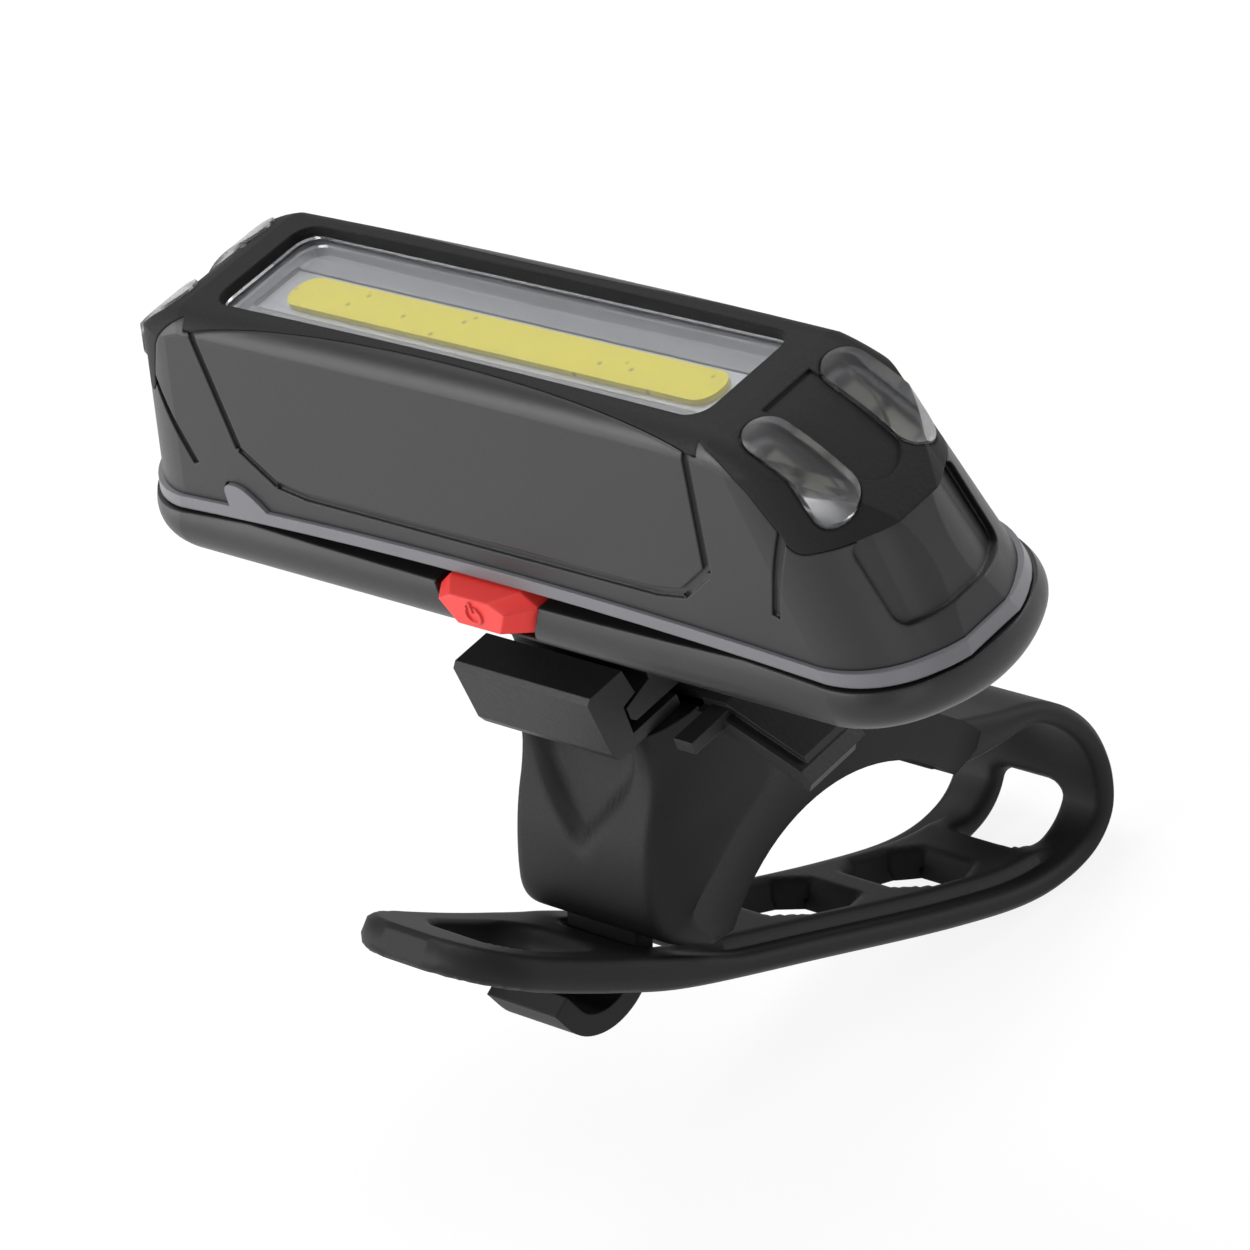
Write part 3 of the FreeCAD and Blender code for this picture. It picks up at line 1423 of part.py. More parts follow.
def build_saddle():
    """The saddle: a neck under the bracket that widens to a seat for the bar."""
    top = base_bottom.value - 0.05
    near_low = yz(-10.8, -59.3)
    seat_start = seat_point(-41.0)
    seat_end = seat_point(59.0)
    edges = [
        Part.LineSegment(yz(9.0, top), yz(-7.2, top)).toShape(),
        spline_edge([yz(-7.2, top), yz(-7.9, -44.6), yz(-10.6, -48.8), yz(-12.4, -52.4),
                     yz(-12.5, -55.8), near_low]),
        Part.LineSegment(near_low, yz(-9.6, -60.6)).toShape(),
        Part.LineSegment(yz(-9.6, -60.6), seat_start).toShape(),
        Part.Arc(seat_start, seat_point(10.0), seat_end).toShape(),
        Part.LineSegment(seat_end, yz(25.6, -61.2)).toShape(),
        spline_edge([yz(25.6, -61.2), yz(22.4, -57.0), yz(16.8, -51.4), yz(11.6, -45.0), yz(9.0, top)]),
    ]
    block = bar_slab(edges, size["saddle_width"].value)
    half = size["saddle_width"].value / 2
    shoulder = size["rail_length"].value / 2 - 0.3
    right = [Vector(shoulder, 0, top + 1), Vector(half - 1.0, 0, -44.0), Vector(half, 0, -50.0),
             Vector(half, 0, -56.0), Vector(half - 0.4, 0, -70.0)]
    left = mirrored(right)
    side = side_slab(Part.__sortEdges__([
        spline_edge(right),
        Part.LineSegment(right[-1], left[-1]).toShape(),
        spline_edge(left),
        Part.LineSegment(left[0], right[0]).toShape(),
    ]), 60)
    return block.common(side)


def strap_route():
    """The strap's outer line from the saddle round the bend and back to the pull tab."""
    return [yz(24.4, -59.6), yz(29.4, -62.3), yz(34.3, -64.7), yz(37.6, -68.0), yz(39.6, -72.2),
            yz(39.8, -76.8), yz(37.9, -80.8), yz(33.4, -82.8), yz(26.4, -82.0), yz(16.6, -77.6),
            yz(1.1, -69.1), yz(-12.8, -61.3), yz(-20.0, -56.2), yz(-27.0, -50.6), yz(-33.8, -44.6)]


def strap_inside(outer, thickness):
    """The strap's inner line, a thickness inward; the root is thicker."""
    inner = []
    for index, point in enumerate(outer):
        before = outer[max(index - 1, 0)]
        after = outer[min(index + 1, len(outer) - 1)]
        run = (after - before).normalize()
        normal = Vector(0, run.z, -run.y)
        extra = max(0.0, 1.0 - index / 3.0) * size["root_extra"].value
        inner.append(point + normal * (thickness + extra))
    return inner


def build_strap():
    """The strap: a band of even width with its slot, holes and rounded pull tab."""
    outer = strap_route()
    inner = strap_inside(outer, size["strap_thickness"].value)
    edges = [
        spline_edge(outer),
        Part.LineSegment(outer[-1], inner[-1]).toShape(),
        spline_edge(inner),
        Part.LineSegment(inner[0], outer[0]).toShape(),
    ]
    return bar_slab(edges, size["strap_width"].value)


def build_plateau():
    """The raised field on the strap's inner side, round its holes."""
    low = strap_inside(strap_route(), size["strap_thickness"].value - 0.6)[8:11]
    high = strap_inside(strap_route(), size["strap_thickness"].value + size["plateau_rise"].value)[8:11]
    edges = [
        spline_edge(low),
        Part.LineSegment(low[-1], high[-1]).toShape(),
        spline_edge(high),
        Part.LineSegment(high[0], low[0]).toShape(),
    ]
    return bar_slab(edges, size["plateau_width"].value)


def tab_corners(tip):
    """The two corners that are cut off the pull tab's end, seen from above."""
    corner = size["tab_corner"].value
    half = size["strap_width"].value / 2
    block = Part.makeBox(2 * half + 2, corner + 4, 60, Vector(-half - 1, tip - 4, -80))
    body = Part.makeBox(2 * half, 40, 60, Vector(-half, tip, -80))
    uprights = [edge for edge in body.Edges
                if abs(edge.tangentAt(edge.FirstParameter).z) > 0.9 and edge.CenterOfMass.y < tip + 1]
    return block.cut(body.makeFillet(corner, uprights))


def upright_hole(points, low, high):
    """A hole through the strap with a six-sided outline seen from above."""
    corners = [Vector(x, y, low) for x, y in points]
    wire = Part.makePolygon(corners + [corners[0]])
    return Part.Face(wire).extrude(Vector(0, 0, high - low))


def build_hook():
    """The hook under the strap: it comes down through the strap's hole and turns up again."""
    thickness = size["hook_thickness"].value
    outer = [yz(-8.6, -58.4), yz(-11.6, -60.4), yz(-15.4, -61.8), yz(-18.2, -62.3), yz(-20.8, -61.7),
             yz(-22.8, -60.1), yz(-24.2, -57.0)]
    inner = []
    for index, point in enumerate(outer):
        before = outer[max(index - 1, 0)]
        after = outer[min(index + 1, len(outer) - 1)]
        run = (after - before).normalize()
        inner.append(point + Vector(0, run.z, -run.y) * thickness)
    edges = [
        spline_edge(outer),
        Part.LineSegment(outer[-1], inner[-1]).toShape(),
        spline_edge(inner),
        Part.LineSegment(inner[0], outer[0]).toShape(),
    ]
    return bar_slab(edges, size["hook_width"].value)


def tongue_groove():
    """The groove in the saddle's top that the latch neck springs down into."""
    top = base_bottom.value + 0.5
    deep = top - 0.5 - size["groove_depth"].value
    start = -size["tongue_hinge"].value - 0.5
    end = size["saddle_width"].value / 2 + 1
    edges = []
    corners = [Vector(start, 0, top), Vector(end, 0, top), Vector(end, 0, deep), Vector(start, 0, top - 1.0)]
    for before, after in zip(corners, corners[1:] + corners[:1]):
        edges.append(Part.LineSegment(before, after).toShape())
    return side_slab(edges, size["tongue_neck"].value / 2 + 0.6)


def hexagon_plan(near, far):
    """Corners of a six-sided strap hole between two places across the bar."""
    middle = (near + far) / 2
    return [(-3.7, near), (3.7, near), (4.9, middle), (3.7, far), (-3.7, far), (-4.9, middle)]


def build_mount_strap():
    """Saddle, strap and hook in one piece, with its openings and the seats of the bracket."""
    strap = build_strap()
    half_slot = size["slot_width"].value / 2
    slot = upright_hole([(-half_slot, 29.5), (half_slot, 29.5), (half_slot, 46.0), (-half_slot, 46.0)], -90, -76.4)
    first = upright_hole(hexagon_plan(14.4, 24.2), -90, -70)
    second = upright_hole(hexagon_plan(0.4, 10.2), -85, -62)
    hook_hole = upright_hole([(-6.2, -7.2), (6.2, -7.2), (6.2, -15.6), (-6.2, -15.6)], -72, -55)
    tab_hole = upright_hole([(-4.6, -21.0), (4.6, -21.0), (4.6, -29.0), (-4.6, -29.0)], -62, -42)
    strap = strap.fuse(build_plateau())
    for cutter in (slot, first, second, hook_hole, tab_hole, tab_corners(strap.BoundBox.YMin)):
        strap = strap.cut(cutter)
    whole = build_saddle().fuse([strap, build_hook()]).removeSplitter()
    bracket = base.Shape.copy()
    bracket.translate(-shift())
    return whole.cut(bracket).cut(tongue_groove())


shape_node("mount_strap", build_mount_strap())


document.recompute()
os.makedirs("parts", exist_ok=True)
for thing in document.Objects:
    if "Invalid" in thing.State or "Error" in thing.State:
        raise RuntimeError(thing.Label + " failed")
for node in nodes:
    if node.Shape.isNull() or not node.Shape.isValid():
        raise RuntimeError(node.Label + " has no valid shape")
for node in nodes:
    node.Shape.exportStep("parts/" + node.Label + ".step")
    print(node.Label, len(node.Shape.Solids), round(node.Shape.Volume, 1))
print(len(nodes), "nodes")
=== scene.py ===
# %% [markdown]
# # A bike light on its rubber strap
# The solids of this light come finished from CAD. This lesson dresses them: it gives each
# plastic, metal and rubber its finish, replaces the plain rubber mount with a softer one
# that is moulded here, and sets up a plain white studio. All lengths are typed in
# millimetres and measured from the top middle of the light, X along it, Y across it and
# Z up, because that is how one would measure the real thing with a calliper.

import bisect
import math

import bmesh
import bpy
from mathutils import Matrix, Vector


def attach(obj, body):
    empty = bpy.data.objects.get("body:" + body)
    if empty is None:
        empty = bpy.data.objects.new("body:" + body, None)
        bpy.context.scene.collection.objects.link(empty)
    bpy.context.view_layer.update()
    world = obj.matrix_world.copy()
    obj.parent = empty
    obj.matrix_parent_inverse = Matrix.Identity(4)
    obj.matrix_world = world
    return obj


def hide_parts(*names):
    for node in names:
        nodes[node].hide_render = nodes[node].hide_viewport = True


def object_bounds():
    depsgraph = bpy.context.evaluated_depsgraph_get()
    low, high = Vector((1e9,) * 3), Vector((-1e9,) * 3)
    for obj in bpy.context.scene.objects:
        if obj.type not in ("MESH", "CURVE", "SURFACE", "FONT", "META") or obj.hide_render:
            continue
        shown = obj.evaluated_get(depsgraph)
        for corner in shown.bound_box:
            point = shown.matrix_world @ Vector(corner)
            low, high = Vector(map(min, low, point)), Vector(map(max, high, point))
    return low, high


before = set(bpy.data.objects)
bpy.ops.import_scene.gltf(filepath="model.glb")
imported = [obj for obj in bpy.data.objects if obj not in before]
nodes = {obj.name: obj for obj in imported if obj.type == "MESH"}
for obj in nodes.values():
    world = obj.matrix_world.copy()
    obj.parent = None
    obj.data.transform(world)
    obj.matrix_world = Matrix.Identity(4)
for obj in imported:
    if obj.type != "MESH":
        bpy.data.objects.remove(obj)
cad_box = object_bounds()
print("pieces from CAD:", len(nodes))

# %% [markdown]
# The frame's origin lies on the axis of the bar that the light is strapped to. One helper
# turns a calliper reading from the light's top into a point of the frame, in metres.
# Another turns a hex colour, as a screen shows it, into the numbers that light uses.

# %% Helpers for places and colours
BAR_OFFSET = 4.8
BAR_DEPTH = 72.6
MM = 0.001


def spot(x, y, z):
    """A point measured in millimetres from the top of the light, as a point of the frame."""
    return Vector((x, y - BAR_OFFSET, z + BAR_DEPTH)) * MM


def colour(hex_text, alpha=1.0):
    """A hex colour as it looks on a screen, turned into the linear numbers that light uses."""
    parts = []
    for place in (1, 3, 5):
        value = int(hex_text[place:place + 2], 16) / 255
        parts.append(value / 12.92 if value <= 0.04045 else ((value + 0.055) / 1.055) ** 2.4)
    return (*parts, alpha)


print("top of the light in the frame:", spot(0, 0, 0))

# %% [markdown]
# Every finish is built from nodes. One small function adds a node, fills its inputs and
# links it, so that each recipe below reads as a short list. An input is named by its
# label or its number, and a value that comes from another node is linked.

# %% A function that adds a node
def add(tree, kind, inputs=None, **settings):
    """Add one node with its settings; inputs are values or sockets of other nodes."""
    node = tree.nodes.new(kind)
    for name, value in settings.items():
        setattr(node, name, value)
    for name, value in (inputs or {}).items():
        if isinstance(value, bpy.types.NodeSocket):
            tree.links.new(value, node.inputs[name])
        else:
            node.inputs[name].default_value = value
    return node


def new_material(name):
    """An empty material with its output and the object's own coordinates."""
    material = bpy.data.materials.new(name)
    material.use_nodes = True
    tree = material.node_tree
    tree.nodes.clear()
    output = add(tree, "ShaderNodeOutputMaterial")
    place = add(tree, "ShaderNodeTexCoord").outputs["Object"]
    return material, tree, output, place


print("helpers ready: add, new_material")

# %% [markdown]
# Moulded plastic and rubber look alike in one way: a base colour with very little change,
# a surface that the mould's spark-eroded or polished steel left behind, and edges that are
# never quite sharp. A noise as fine as the mould's grain drives a small bump and the
# roughness, a slower one gives the faint unevenness of handling, and the Bevel node rounds
# the edges for the light without changing the solid.

# %% The recipe for moulded pieces
HANDLING_PATCH = 9.0
ROUGHNESS_SWING = 0.06


def moulded(name, tint, roughness, grain, relief, edge, level=0.5, mottle=0.12):
    """Moulded plastic or rubber: grain, relief and edge are millimetres on the real piece."""
    material, tree, output, place = new_material(name)
    fine = add(tree, "ShaderNodeTexNoise", {
        "Vector": place, "Scale": 1 / (grain * MM), "Detail": 2.0})
    slow = add(tree, "ShaderNodeTexNoise", {
        "Vector": place, "Scale": 1 / (HANDLING_PATCH * MM), "Detail": 3.0})
    lighter = [min(1.0, part * (1 + mottle)) for part in colour(tint)[:3]]
    darker = [part * (1 - mottle) for part in colour(tint)[:3]]
    tone = add(tree, "ShaderNodeMix", {
        0: slow.outputs["Fac"], 6: (*darker, 1.0), 7: (*lighter, 1.0)}, data_type="RGBA")
    sheen = add(tree, "ShaderNodeMapRange", {
        "Value": fine.outputs["Fac"], "To Min": roughness - ROUGHNESS_SWING,
        "To Max": roughness + ROUGHNESS_SWING})
    rounded = add(tree, "ShaderNodeBevel", {"Radius": edge * MM}, samples=4)
    bump = add(tree, "ShaderNodeBump", {
        "Height": fine.outputs["Fac"], "Distance": relief * MM, "Strength": 1.0,
        "Normal": rounded.outputs["Normal"]})
    shader = add(tree, "ShaderNodeBsdfPrincipled", {
        "Base Color": tone.outputs[2], "Roughness": sheen.outputs["Result"],
        "Normal": bump.outputs["Normal"], "Specular IOR Level": level})
    tree.links.new(shader.outputs["BSDF"], output.inputs["Surface"])
    return material


print("recipe ready: moulded")

# %% [markdown]
# The housing is moulded from near-black plastic. The bezel is the same black ABS as the sides,
# from a mould with a spark finish that scatters the light, and its tint is darker than theirs:
# this is painted shade on the top, which faces away from the lamps. The bracket is glass-filled
# nylon, almost black, from a spark-finished mould. The sides and the lower shell are ABS from a
# finer mould, dark with a soft satin sheen.

# %% Finishes of the housing and the bracket
# Black ABS from a coarse spark finish drinks the light: no highlight, soft grey at the edges.
# Its tint is darker than the sides', which is painted shade on the top.
bezel_black_painted_shade = moulded("Black ABS, spark finish, darkened as painted shade", "#121213", 0.66, 0.35, 0.035, 0.35,
                      level=0.25)
# ABS from a fine mould shows a broad, dim highlight that follows the curve of the wall.
side_abs = moulded("ABS, satin moulded", "#1d1d1f", 0.42, 0.30, 0.006, 0.30)
lower_abs = moulded("ABS, black satin moulded", "#151516", 0.38, 0.30, 0.006, 0.30)
# The bracket's nylon is a little smoother, and its edges are left sharper.
bracket_nylon = moulded("Nylon, black moulded", "#131314", 0.50, 0.45, 0.02, 0.15, level=0.45)
# The button is dyed through, so its red stays even and its facets differ only in light.
button_abs = moulded("ABS, red satin moulded", "#dd3632", 0.42, 0.30, 0.008, 0.35,
                     level=0.4, mottle=0.04)
# The smoked light guide is milky: smooth, grey and without a clear reflection.
guide_plastic = moulded("Polycarbonate, smoked light guide", "#67676b",
                        0.35, 0.40, 0.004, 0.20)
# The tray is pale plastic. Its tint is an even mid grey, which is painted shade for the dim
# recess inside the housing, under the window.
tray_greyed_painted_shade = moulded("ABS, pale tray, greyed as painted shade", "#98989c", 0.38, 0.40, 0.006, 0.2,
                       mottle=0.05)
print("finishes so far:", len(bpy.data.materials))

# %% [markdown]
# The strap, the gasket and the socket's cover are silicone rubber. It comes matt out of
# its mould, throws back little light even at a slant, and looks softer than plastic of the
# same black. So its roughness is high and its specular level low.

# %% Finishes of the rubber
seal_silicone = moulded("Silicone, black gasket", "#1b1b1b", 0.75, 0.30, 0.01, 0.1, level=0.3)
strap_silicone = moulded("Silicone rubber, matt moulded", "#0d0d0e", 0.60, 0.22, 0.012, 0.25,
                         level=0.3)
cover_silicone = moulded("Silicone rubber, socket cover", "#242425", 0.66, 0.22, 0.012, 0.2,
                         level=0.4)
print("finishes so far:", len(bpy.data.materials))

# %% [markdown]
# The light source is a chip-on-board strip: small blue chips on a metal board under one
# poured bar of silicone and yellow phosphor. The pour is a little glossy and wavy, and the
# chips' bond wires show as faint specks. A Voronoi pattern with a wide spacing, cut to its
# centres by a ramp, makes such specks; noise at the width of the bar makes the waves.

# %% Finish of the phosphor strip
SPECK_SPACING = 2.4
SPECK_CORE, SPECK_RIM = 0.05, 0.14
POUR_WAVE = 3.0
POUR_RIPPLE = 0.05

phosphor, tree, output, place = new_material("Phosphor silicone, poured")
specks = add(tree, "ShaderNodeTexVoronoi", {"Vector": place, "Scale": 1 / (SPECK_SPACING * MM)})
speck_mask = add(tree, "ShaderNodeMapRange", {
    "Value": specks.outputs["Distance"], "From Min": SPECK_CORE, "From Max": SPECK_RIM,
    "To Min": 0.0, "To Max": 1.0})
speck_tone = add(tree, "ShaderNodeMix", {
    0: speck_mask.outputs["Result"], 6: colour("#b9ab2a"), 7: colour("#f2e32c")},
    data_type="RGBA")
waves = add(tree, "ShaderNodeTexNoise", {
    "Vector": place, "Scale": 1 / (POUR_WAVE * MM), "Detail": 2.0})
wavy = add(tree, "ShaderNodeBump", {
    "Height": waves.outputs["Fac"], "Distance": POUR_RIPPLE * MM})
pour = add(tree, "ShaderNodeBsdfPrincipled", {
    "Base Color": speck_tone.outputs[2], "Roughness": 0.35, "Normal": wavy.outputs["Normal"]})
tree.links.new(pour.outputs["BSDF"], output.inputs["Surface"])
print("made:", phosphor.name)

# %% [markdown]
# The window and the four lenses are polycarbonate, pressed in a mould. Glass shading bends
# the light as the real pane does. Polycarbonate bends it a little more than window glass,
# so its index of refraction is 1.58. The window is clear and polished. The lenses are
# slightly smoked and frosted, so that the cups behind them show only as soft shapes.

# %% Finish of the window and the lenses
POLYCARBONATE_IOR = 1.58
PRESSING_WAVE = 6.0


def clear_plastic(name, tint, roughness, ripple):
    """Polycarbonate; ripple is the depth in millimetres of the surface's slow waves."""
    material, tree, output, place = new_material(name)
    flow = add(tree, "ShaderNodeTexNoise", {
        "Vector": place, "Scale": 1 / (PRESSING_WAVE * MM), "Detail": 1.0})
    bump = add(tree, "ShaderNodeBump", {
        "Height": flow.outputs["Fac"], "Distance": ripple * MM})
    shader = add(tree, "ShaderNodeBsdfPrincipled", {
        "Base Color": colour(tint), "Roughness": roughness, "IOR": POLYCARBONATE_IOR,
        "Transmission Weight": 1.0, "Normal": bump.outputs["Normal"]})
    tree.links.new(shader.outputs["BSDF"], output.inputs["Surface"])
    return material


window_clear = clear_plastic("Polycarbonate, clear window", "#f4f5f7", 0.03, 0.02)
lens_clear = clear_plastic("Polycarbonate, smoked lens", "#b9babd", 0.22, 0.10)
print("made:", window_clear.name, "and", lens_clear.name)

# %% [markdown]
# The metal parts inside are seen through the lenses or in the open section: bright
# metallised reflector cups, aluminium boards and zinc-plated screws. A metal is all
# reflection, so its colour is its tint and the roughness tells how it was finished.

# %% Finishes of the metals
SCRATCH_SWING = 0.3


def bare_metal(name, tint, roughness, scratch, relief):
    """Metal with fine marks; scratch and relief are millimetres."""
    material, tree, output, place = new_material(name)
    marks = add(tree, "ShaderNodeTexNoise", {
        "Vector": place, "Scale": 1 / (scratch * MM), "Detail": 3.0})
    rough = add(tree, "ShaderNodeMapRange", {
        "Value": marks.outputs["Fac"], "To Min": roughness * (1 - SCRATCH_SWING),
        "To Max": roughness * (1 + SCRATCH_SWING)})
    bump = add(tree, "ShaderNodeBump", {
        "Height": marks.outputs["Fac"], "Distance": relief * MM})
    shader = add(tree, "ShaderNodeBsdfPrincipled", {
        "Base Color": colour(tint), "Metallic": 1.0, "Roughness": rough.outputs["Result"],
        "Normal": bump.outputs["Normal"]})
    tree.links.new(shader.outputs["BSDF"], output.inputs["Surface"])
    return material


# A vapour coat on plastic keeps the moulding's softness: bright, but not a mirror.
cup_metal = bare_metal("Vacuum-metallised plastic", "#a8a8ab", 0.30, 1.2, 0.02)
# Rolled board metal is dull and even; the screws' zinc plate is brighter and finer.
board_aluminium = bare_metal("Aluminium board", "#c9cacc", 0.45, 0.5, 0.005)
screw_zinc = bare_metal("Zinc-plated steel", "#b4b5b8", 0.30, 0.4, 0.004)
print("metals made:", [cup_metal.name, board_aluminium.name, screw_zinc.name])

# %% [markdown]
# Solder mask is a glossy lacquer over copper and glass cloth, green on the main board and
# white on the signal boards, where it throws the light back. The cell wears a shrink
# sleeve, and the signal diodes are clear blocks over a pale yellow chip.

# %% Finishes of the electronics
board_green = moulded("Solder mask, green", "#1d5a36", 0.30, 0.6, 0.01, 0.05, mottle=0.1)
board_white = moulded("Solder mask, white", "#9c9da0", 0.35, 0.6, 0.01, 0.05, mottle=0.05)
cell_sleeve = moulded("Shrink sleeve, blue", "#2c5f9e", 0.25, 1.5, 0.01, 0.1, mottle=0.05)
diode_block = moulded("Epoxy block, pale", "#e9e6cf", 0.20, 0.8, 0.004, 0.1, mottle=0.04)
print("finishes in all:", len(bpy.data.materials))

# %% [markdown]
# A CAD piece keeps its solid and only gets a better finish: its material slots are filled
# with one of the materials above, whatever number of slots it came with.

# %% Dress the CAD pieces
finishes = {
    "top_bezel": bezel_black_painted_shade, "upper_shell": side_abs, "window_cover": window_clear,
    "reflector_tray": tray_greyed_painted_shade, "strip_board": board_aluminium,
    "light_strip": phosphor, "heat_spreader": board_aluminium,
    "front_lens_left": lens_clear, "front_lens_right": lens_clear,
    "rear_lens_left": lens_clear, "rear_lens_right": lens_clear,
    "front_signal_board": board_white, "rear_signal_board": board_white,
    "front_reflector_cups": cup_metal, "rear_reflector_cups": cup_metal,
    "front_signal_leds": diode_block, "rear_signal_leds": diode_block,
    "light_guide_ring": guide_plastic, "shell_seal": seal_silicone,
    "lower_shell": lower_abs, "battery_cell": cell_sleeve, "cell_cradle": lower_abs,
    "main_board": board_green, "charging_socket": screw_zinc,
    "socket_cover": cover_silicone, "button_switch": lower_abs, "power_button": button_abs,
    "shell_screws": screw_zinc, "slide_foot": bracket_nylon, "foot_screws": screw_zinc,
    "bracket_base": bracket_nylon, "latch_tongue": bracket_nylon,
    "mount_strap": strap_silicone,
}


def dress(node, material):
    """Fill every material slot of a CAD piece with one finish."""
    slots = node.data.materials
    if len(slots) == 0:
        slots.append(material)
    for index in range(len(slots)):
        slots[index] = material


for name, material in finishes.items():
    dress(nodes[name], material)
print("dressed:", len(finishes), "left plain:", sorted(set(nodes) - set(finishes)))

# %% [markdown]
# The rubber mount is one moulding: a saddle that hugs the bar, a strap that goes round it
# and a hook that the strap's holes are pulled over. The strap is made the way it would be
# cut from sheet: a flat grid with its slot, holes and round end taken out, thickened, and
# then bent along its path. The path is the strap's outer side in the plane across the bar,
# as Y and Z. It starts at the saddle's back, turns round the bend and ends at the pull tab.

# %% The strap's path
STRAP_PATH = [
    (22.6, -58.4), (24.4, -59.6), (29.4, -62.3), (34.3, -64.7), (37.6, -68.0), (39.6, -72.2),
    (39.8, -76.8), (37.9, -80.8), (33.4, -82.8), (26.4, -82.0), (16.6, -77.6), (1.1, -69.1),
    (-12.8, -61.3), (-20.0, -56.2), (-27.0, -50.6), (-33.8, -44.6)]


def smooth_path(points, steps):
    """Catmull-Rom curve through the points, as a list of close points."""
    corners = [Vector(p) for p in points]
    corners = [corners[0] * 2 - corners[1]] + corners + [corners[-1] * 2 - corners[-2]]
    line = []
    for a, b, c, d in zip(corners, corners[1:], corners[2:], corners[3:]):
        for step in range(steps):
            t = step / steps
            line.append(0.5 * (2 * b + (c - a) * t + (2 * a - 5 * b + 4 * c - d) * t * t
                               + (3 * b - a - 3 * c + d) * t ** 3))
    line.append(corners[-2])
    return line


path = smooth_path(STRAP_PATH, 24)
run = [0.0]
for before, after in zip(path, path[1:]):
    run.append(run[-1] + (after - before).length)
strap_length = run[-1]
print("strap length in mm:", round(strap_length, 1))

# %% [markdown]
# A tape laid along the path gives every place on the strap one number. The first helper
# reads the path at such a number. The second finds the number at which the strap crosses a
# given Y, which is how the holes are measured in a side view of the light.

# %% Measure along the strap
TINY = 1e-12
BEND_Y = 39.0


def along(distance):
    """The path's point and direction at a distance from its start, in millimetres."""
    distance = min(max(distance, 0.0), strap_length)
    index = min(bisect.bisect_right(run, distance) - 1, len(run) - 2)
    share = (distance - run[index]) / (run[index + 1] - run[index])
    ahead = path[min(index + 2, len(path) - 1)]
    behind = path[max(index - 1, 0)]
    return path[index].lerp(path[index + 1], share), (ahead - behind).normalized()


def distance_at(y, after=0.0):
    """The distance along the path at which it first crosses y, past a given distance."""
    for place, before, now in zip(run, path, path[1:]):
        if place >= after and (before.x - y) * (now.x - y) <= 0:
            return place + (before.x - y) / (before.x - now.x + TINY) * (now - before).length
    return strap_length


bend = distance_at(BEND_Y)
print("the bend begins at:", round(bend, 1))

# %% [markdown]
# The strap has one long slot behind the bend, two hexagonal holes that the hook takes, a
# last square hole and a rounded finger hole in the pull tab. Each is written as its start
# and end along the strap, its half width and, where it isn't a hexagon, its corner radius.

# %% The strap's slot and holes
SLOT = (bend + 8.4, distance_at(29.4, bend), 4.3, 2.0)
HOOK_HOLES = [(distance_at(24.2, bend), distance_at(14.4, bend), 4.9),
              (distance_at(10.4, bend), distance_at(0.2, bend), 4.9)]
SQUARE_HOLE = (distance_at(-7.2, bend), distance_at(-15.6, bend), 5.0, 1.0)
FINGER_HOLE = (distance_at(-19.4, bend), distance_at(-29.2, bend), 5.4, 3.4)
print("slot from", round(SLOT[0], 1), "to", round(SLOT[1], 1))

# %% [markdown]
# The strap's plan is written as a distance to its edge: negative in the rubber, positive
# outside and in the holes. Such distances are easy to join: the nearest hole is the
# smallest of them, and cutting the holes out of the strap is the larger of two.

# %% The strap's plan
STRAP_WIDTH = 19.0
TAB_RADIUS = 7.2
SHARP_RADIUS = 0.5
PAST_ROOT = -20.0
ROOT_SIDE = 20.0
HEXAGON_CUT = 1.6
CUT_SLANT = (0.5, 0.87)


def rounded_box(s, x, start, end, half, radius):
    """Distance from a point of the flat strap to a rounded rectangle in it."""
    along_gap = abs(s - (start + end) / 2) - (end - start) / 2 + radius
    across_gap = abs(x) - half + radius
    outside = math.hypot(max(along_gap, 0.0), max(across_gap, 0.0))
    return outside + min(max(along_gap, across_gap), 0.0) - radius


def hexagon(s, x, start, end, half):
    """Distance to a hole whose four corners are cut off at 60 degrees."""
    straight = rounded_box(s, x, start, end, half, SHARP_RADIUS)
    slanted = abs(s - (start + end) / 2) * CUT_SLANT[0] + abs(x) * CUT_SLANT[1]
    corner = half * CUT_SLANT[1] + (end - start) / 2 * CUT_SLANT[0] - HEXAGON_CUT
    return max(straight, slanted - corner)


def hole_gap(s, x):
    """Distance to the nearest hole of the strap, positive outside it."""
    gaps = [hexagon(s, x, *hole) for hole in HOOK_HOLES]
    gaps += [rounded_box(s, x, *hole) for hole in (SLOT, SQUARE_HOLE, FINGER_HOLE)]
    return min(gaps)


def edge_gap(s, x):
    """Distance to the strap's edge or a hole, negative in the rubber."""
    radius = TAB_RADIUS if s > ROOT_SIDE else SHARP_RADIUS
    outer = rounded_box(s, x, PAST_ROOT, strap_length, STRAP_WIDTH / 2, radius)
    return max(outer, -hole_gap(s, x))


print("rubber between the hook's holes:", round(HOOK_HOLES[1][0] - HOOK_HOLES[0][1], 1), "mm")

# %% [markdown]
# Cells of a flat grid whose middle lies outside the rubber are deleted. The corners left
# along the edges are then moved onto the true outline, down the slope of the distance,
# which gives round holes from square cells.

# %% Cut the flat strap
CELL = 0.55
PROBE = 0.02
CLEAR_SLOPE = 0.1
SNAP_ROUNDS = 3
SNAP_REACH = CELL * 1.2
ROOT_LINE = 0.5


def outline_slope(s, x):
    """The way out of the rubber over the nearest edge, of length one, or zero if unclear."""
    slope = Vector((edge_gap(s + PROBE, x) - edge_gap(s - PROBE, x),
                    edge_gap(s, x + PROBE) - edge_gap(s, x - PROBE), 0)) / (2 * PROBE)
    return slope.normalized() if slope.length > CLEAR_SLOPE else Vector((0, 0, 0))


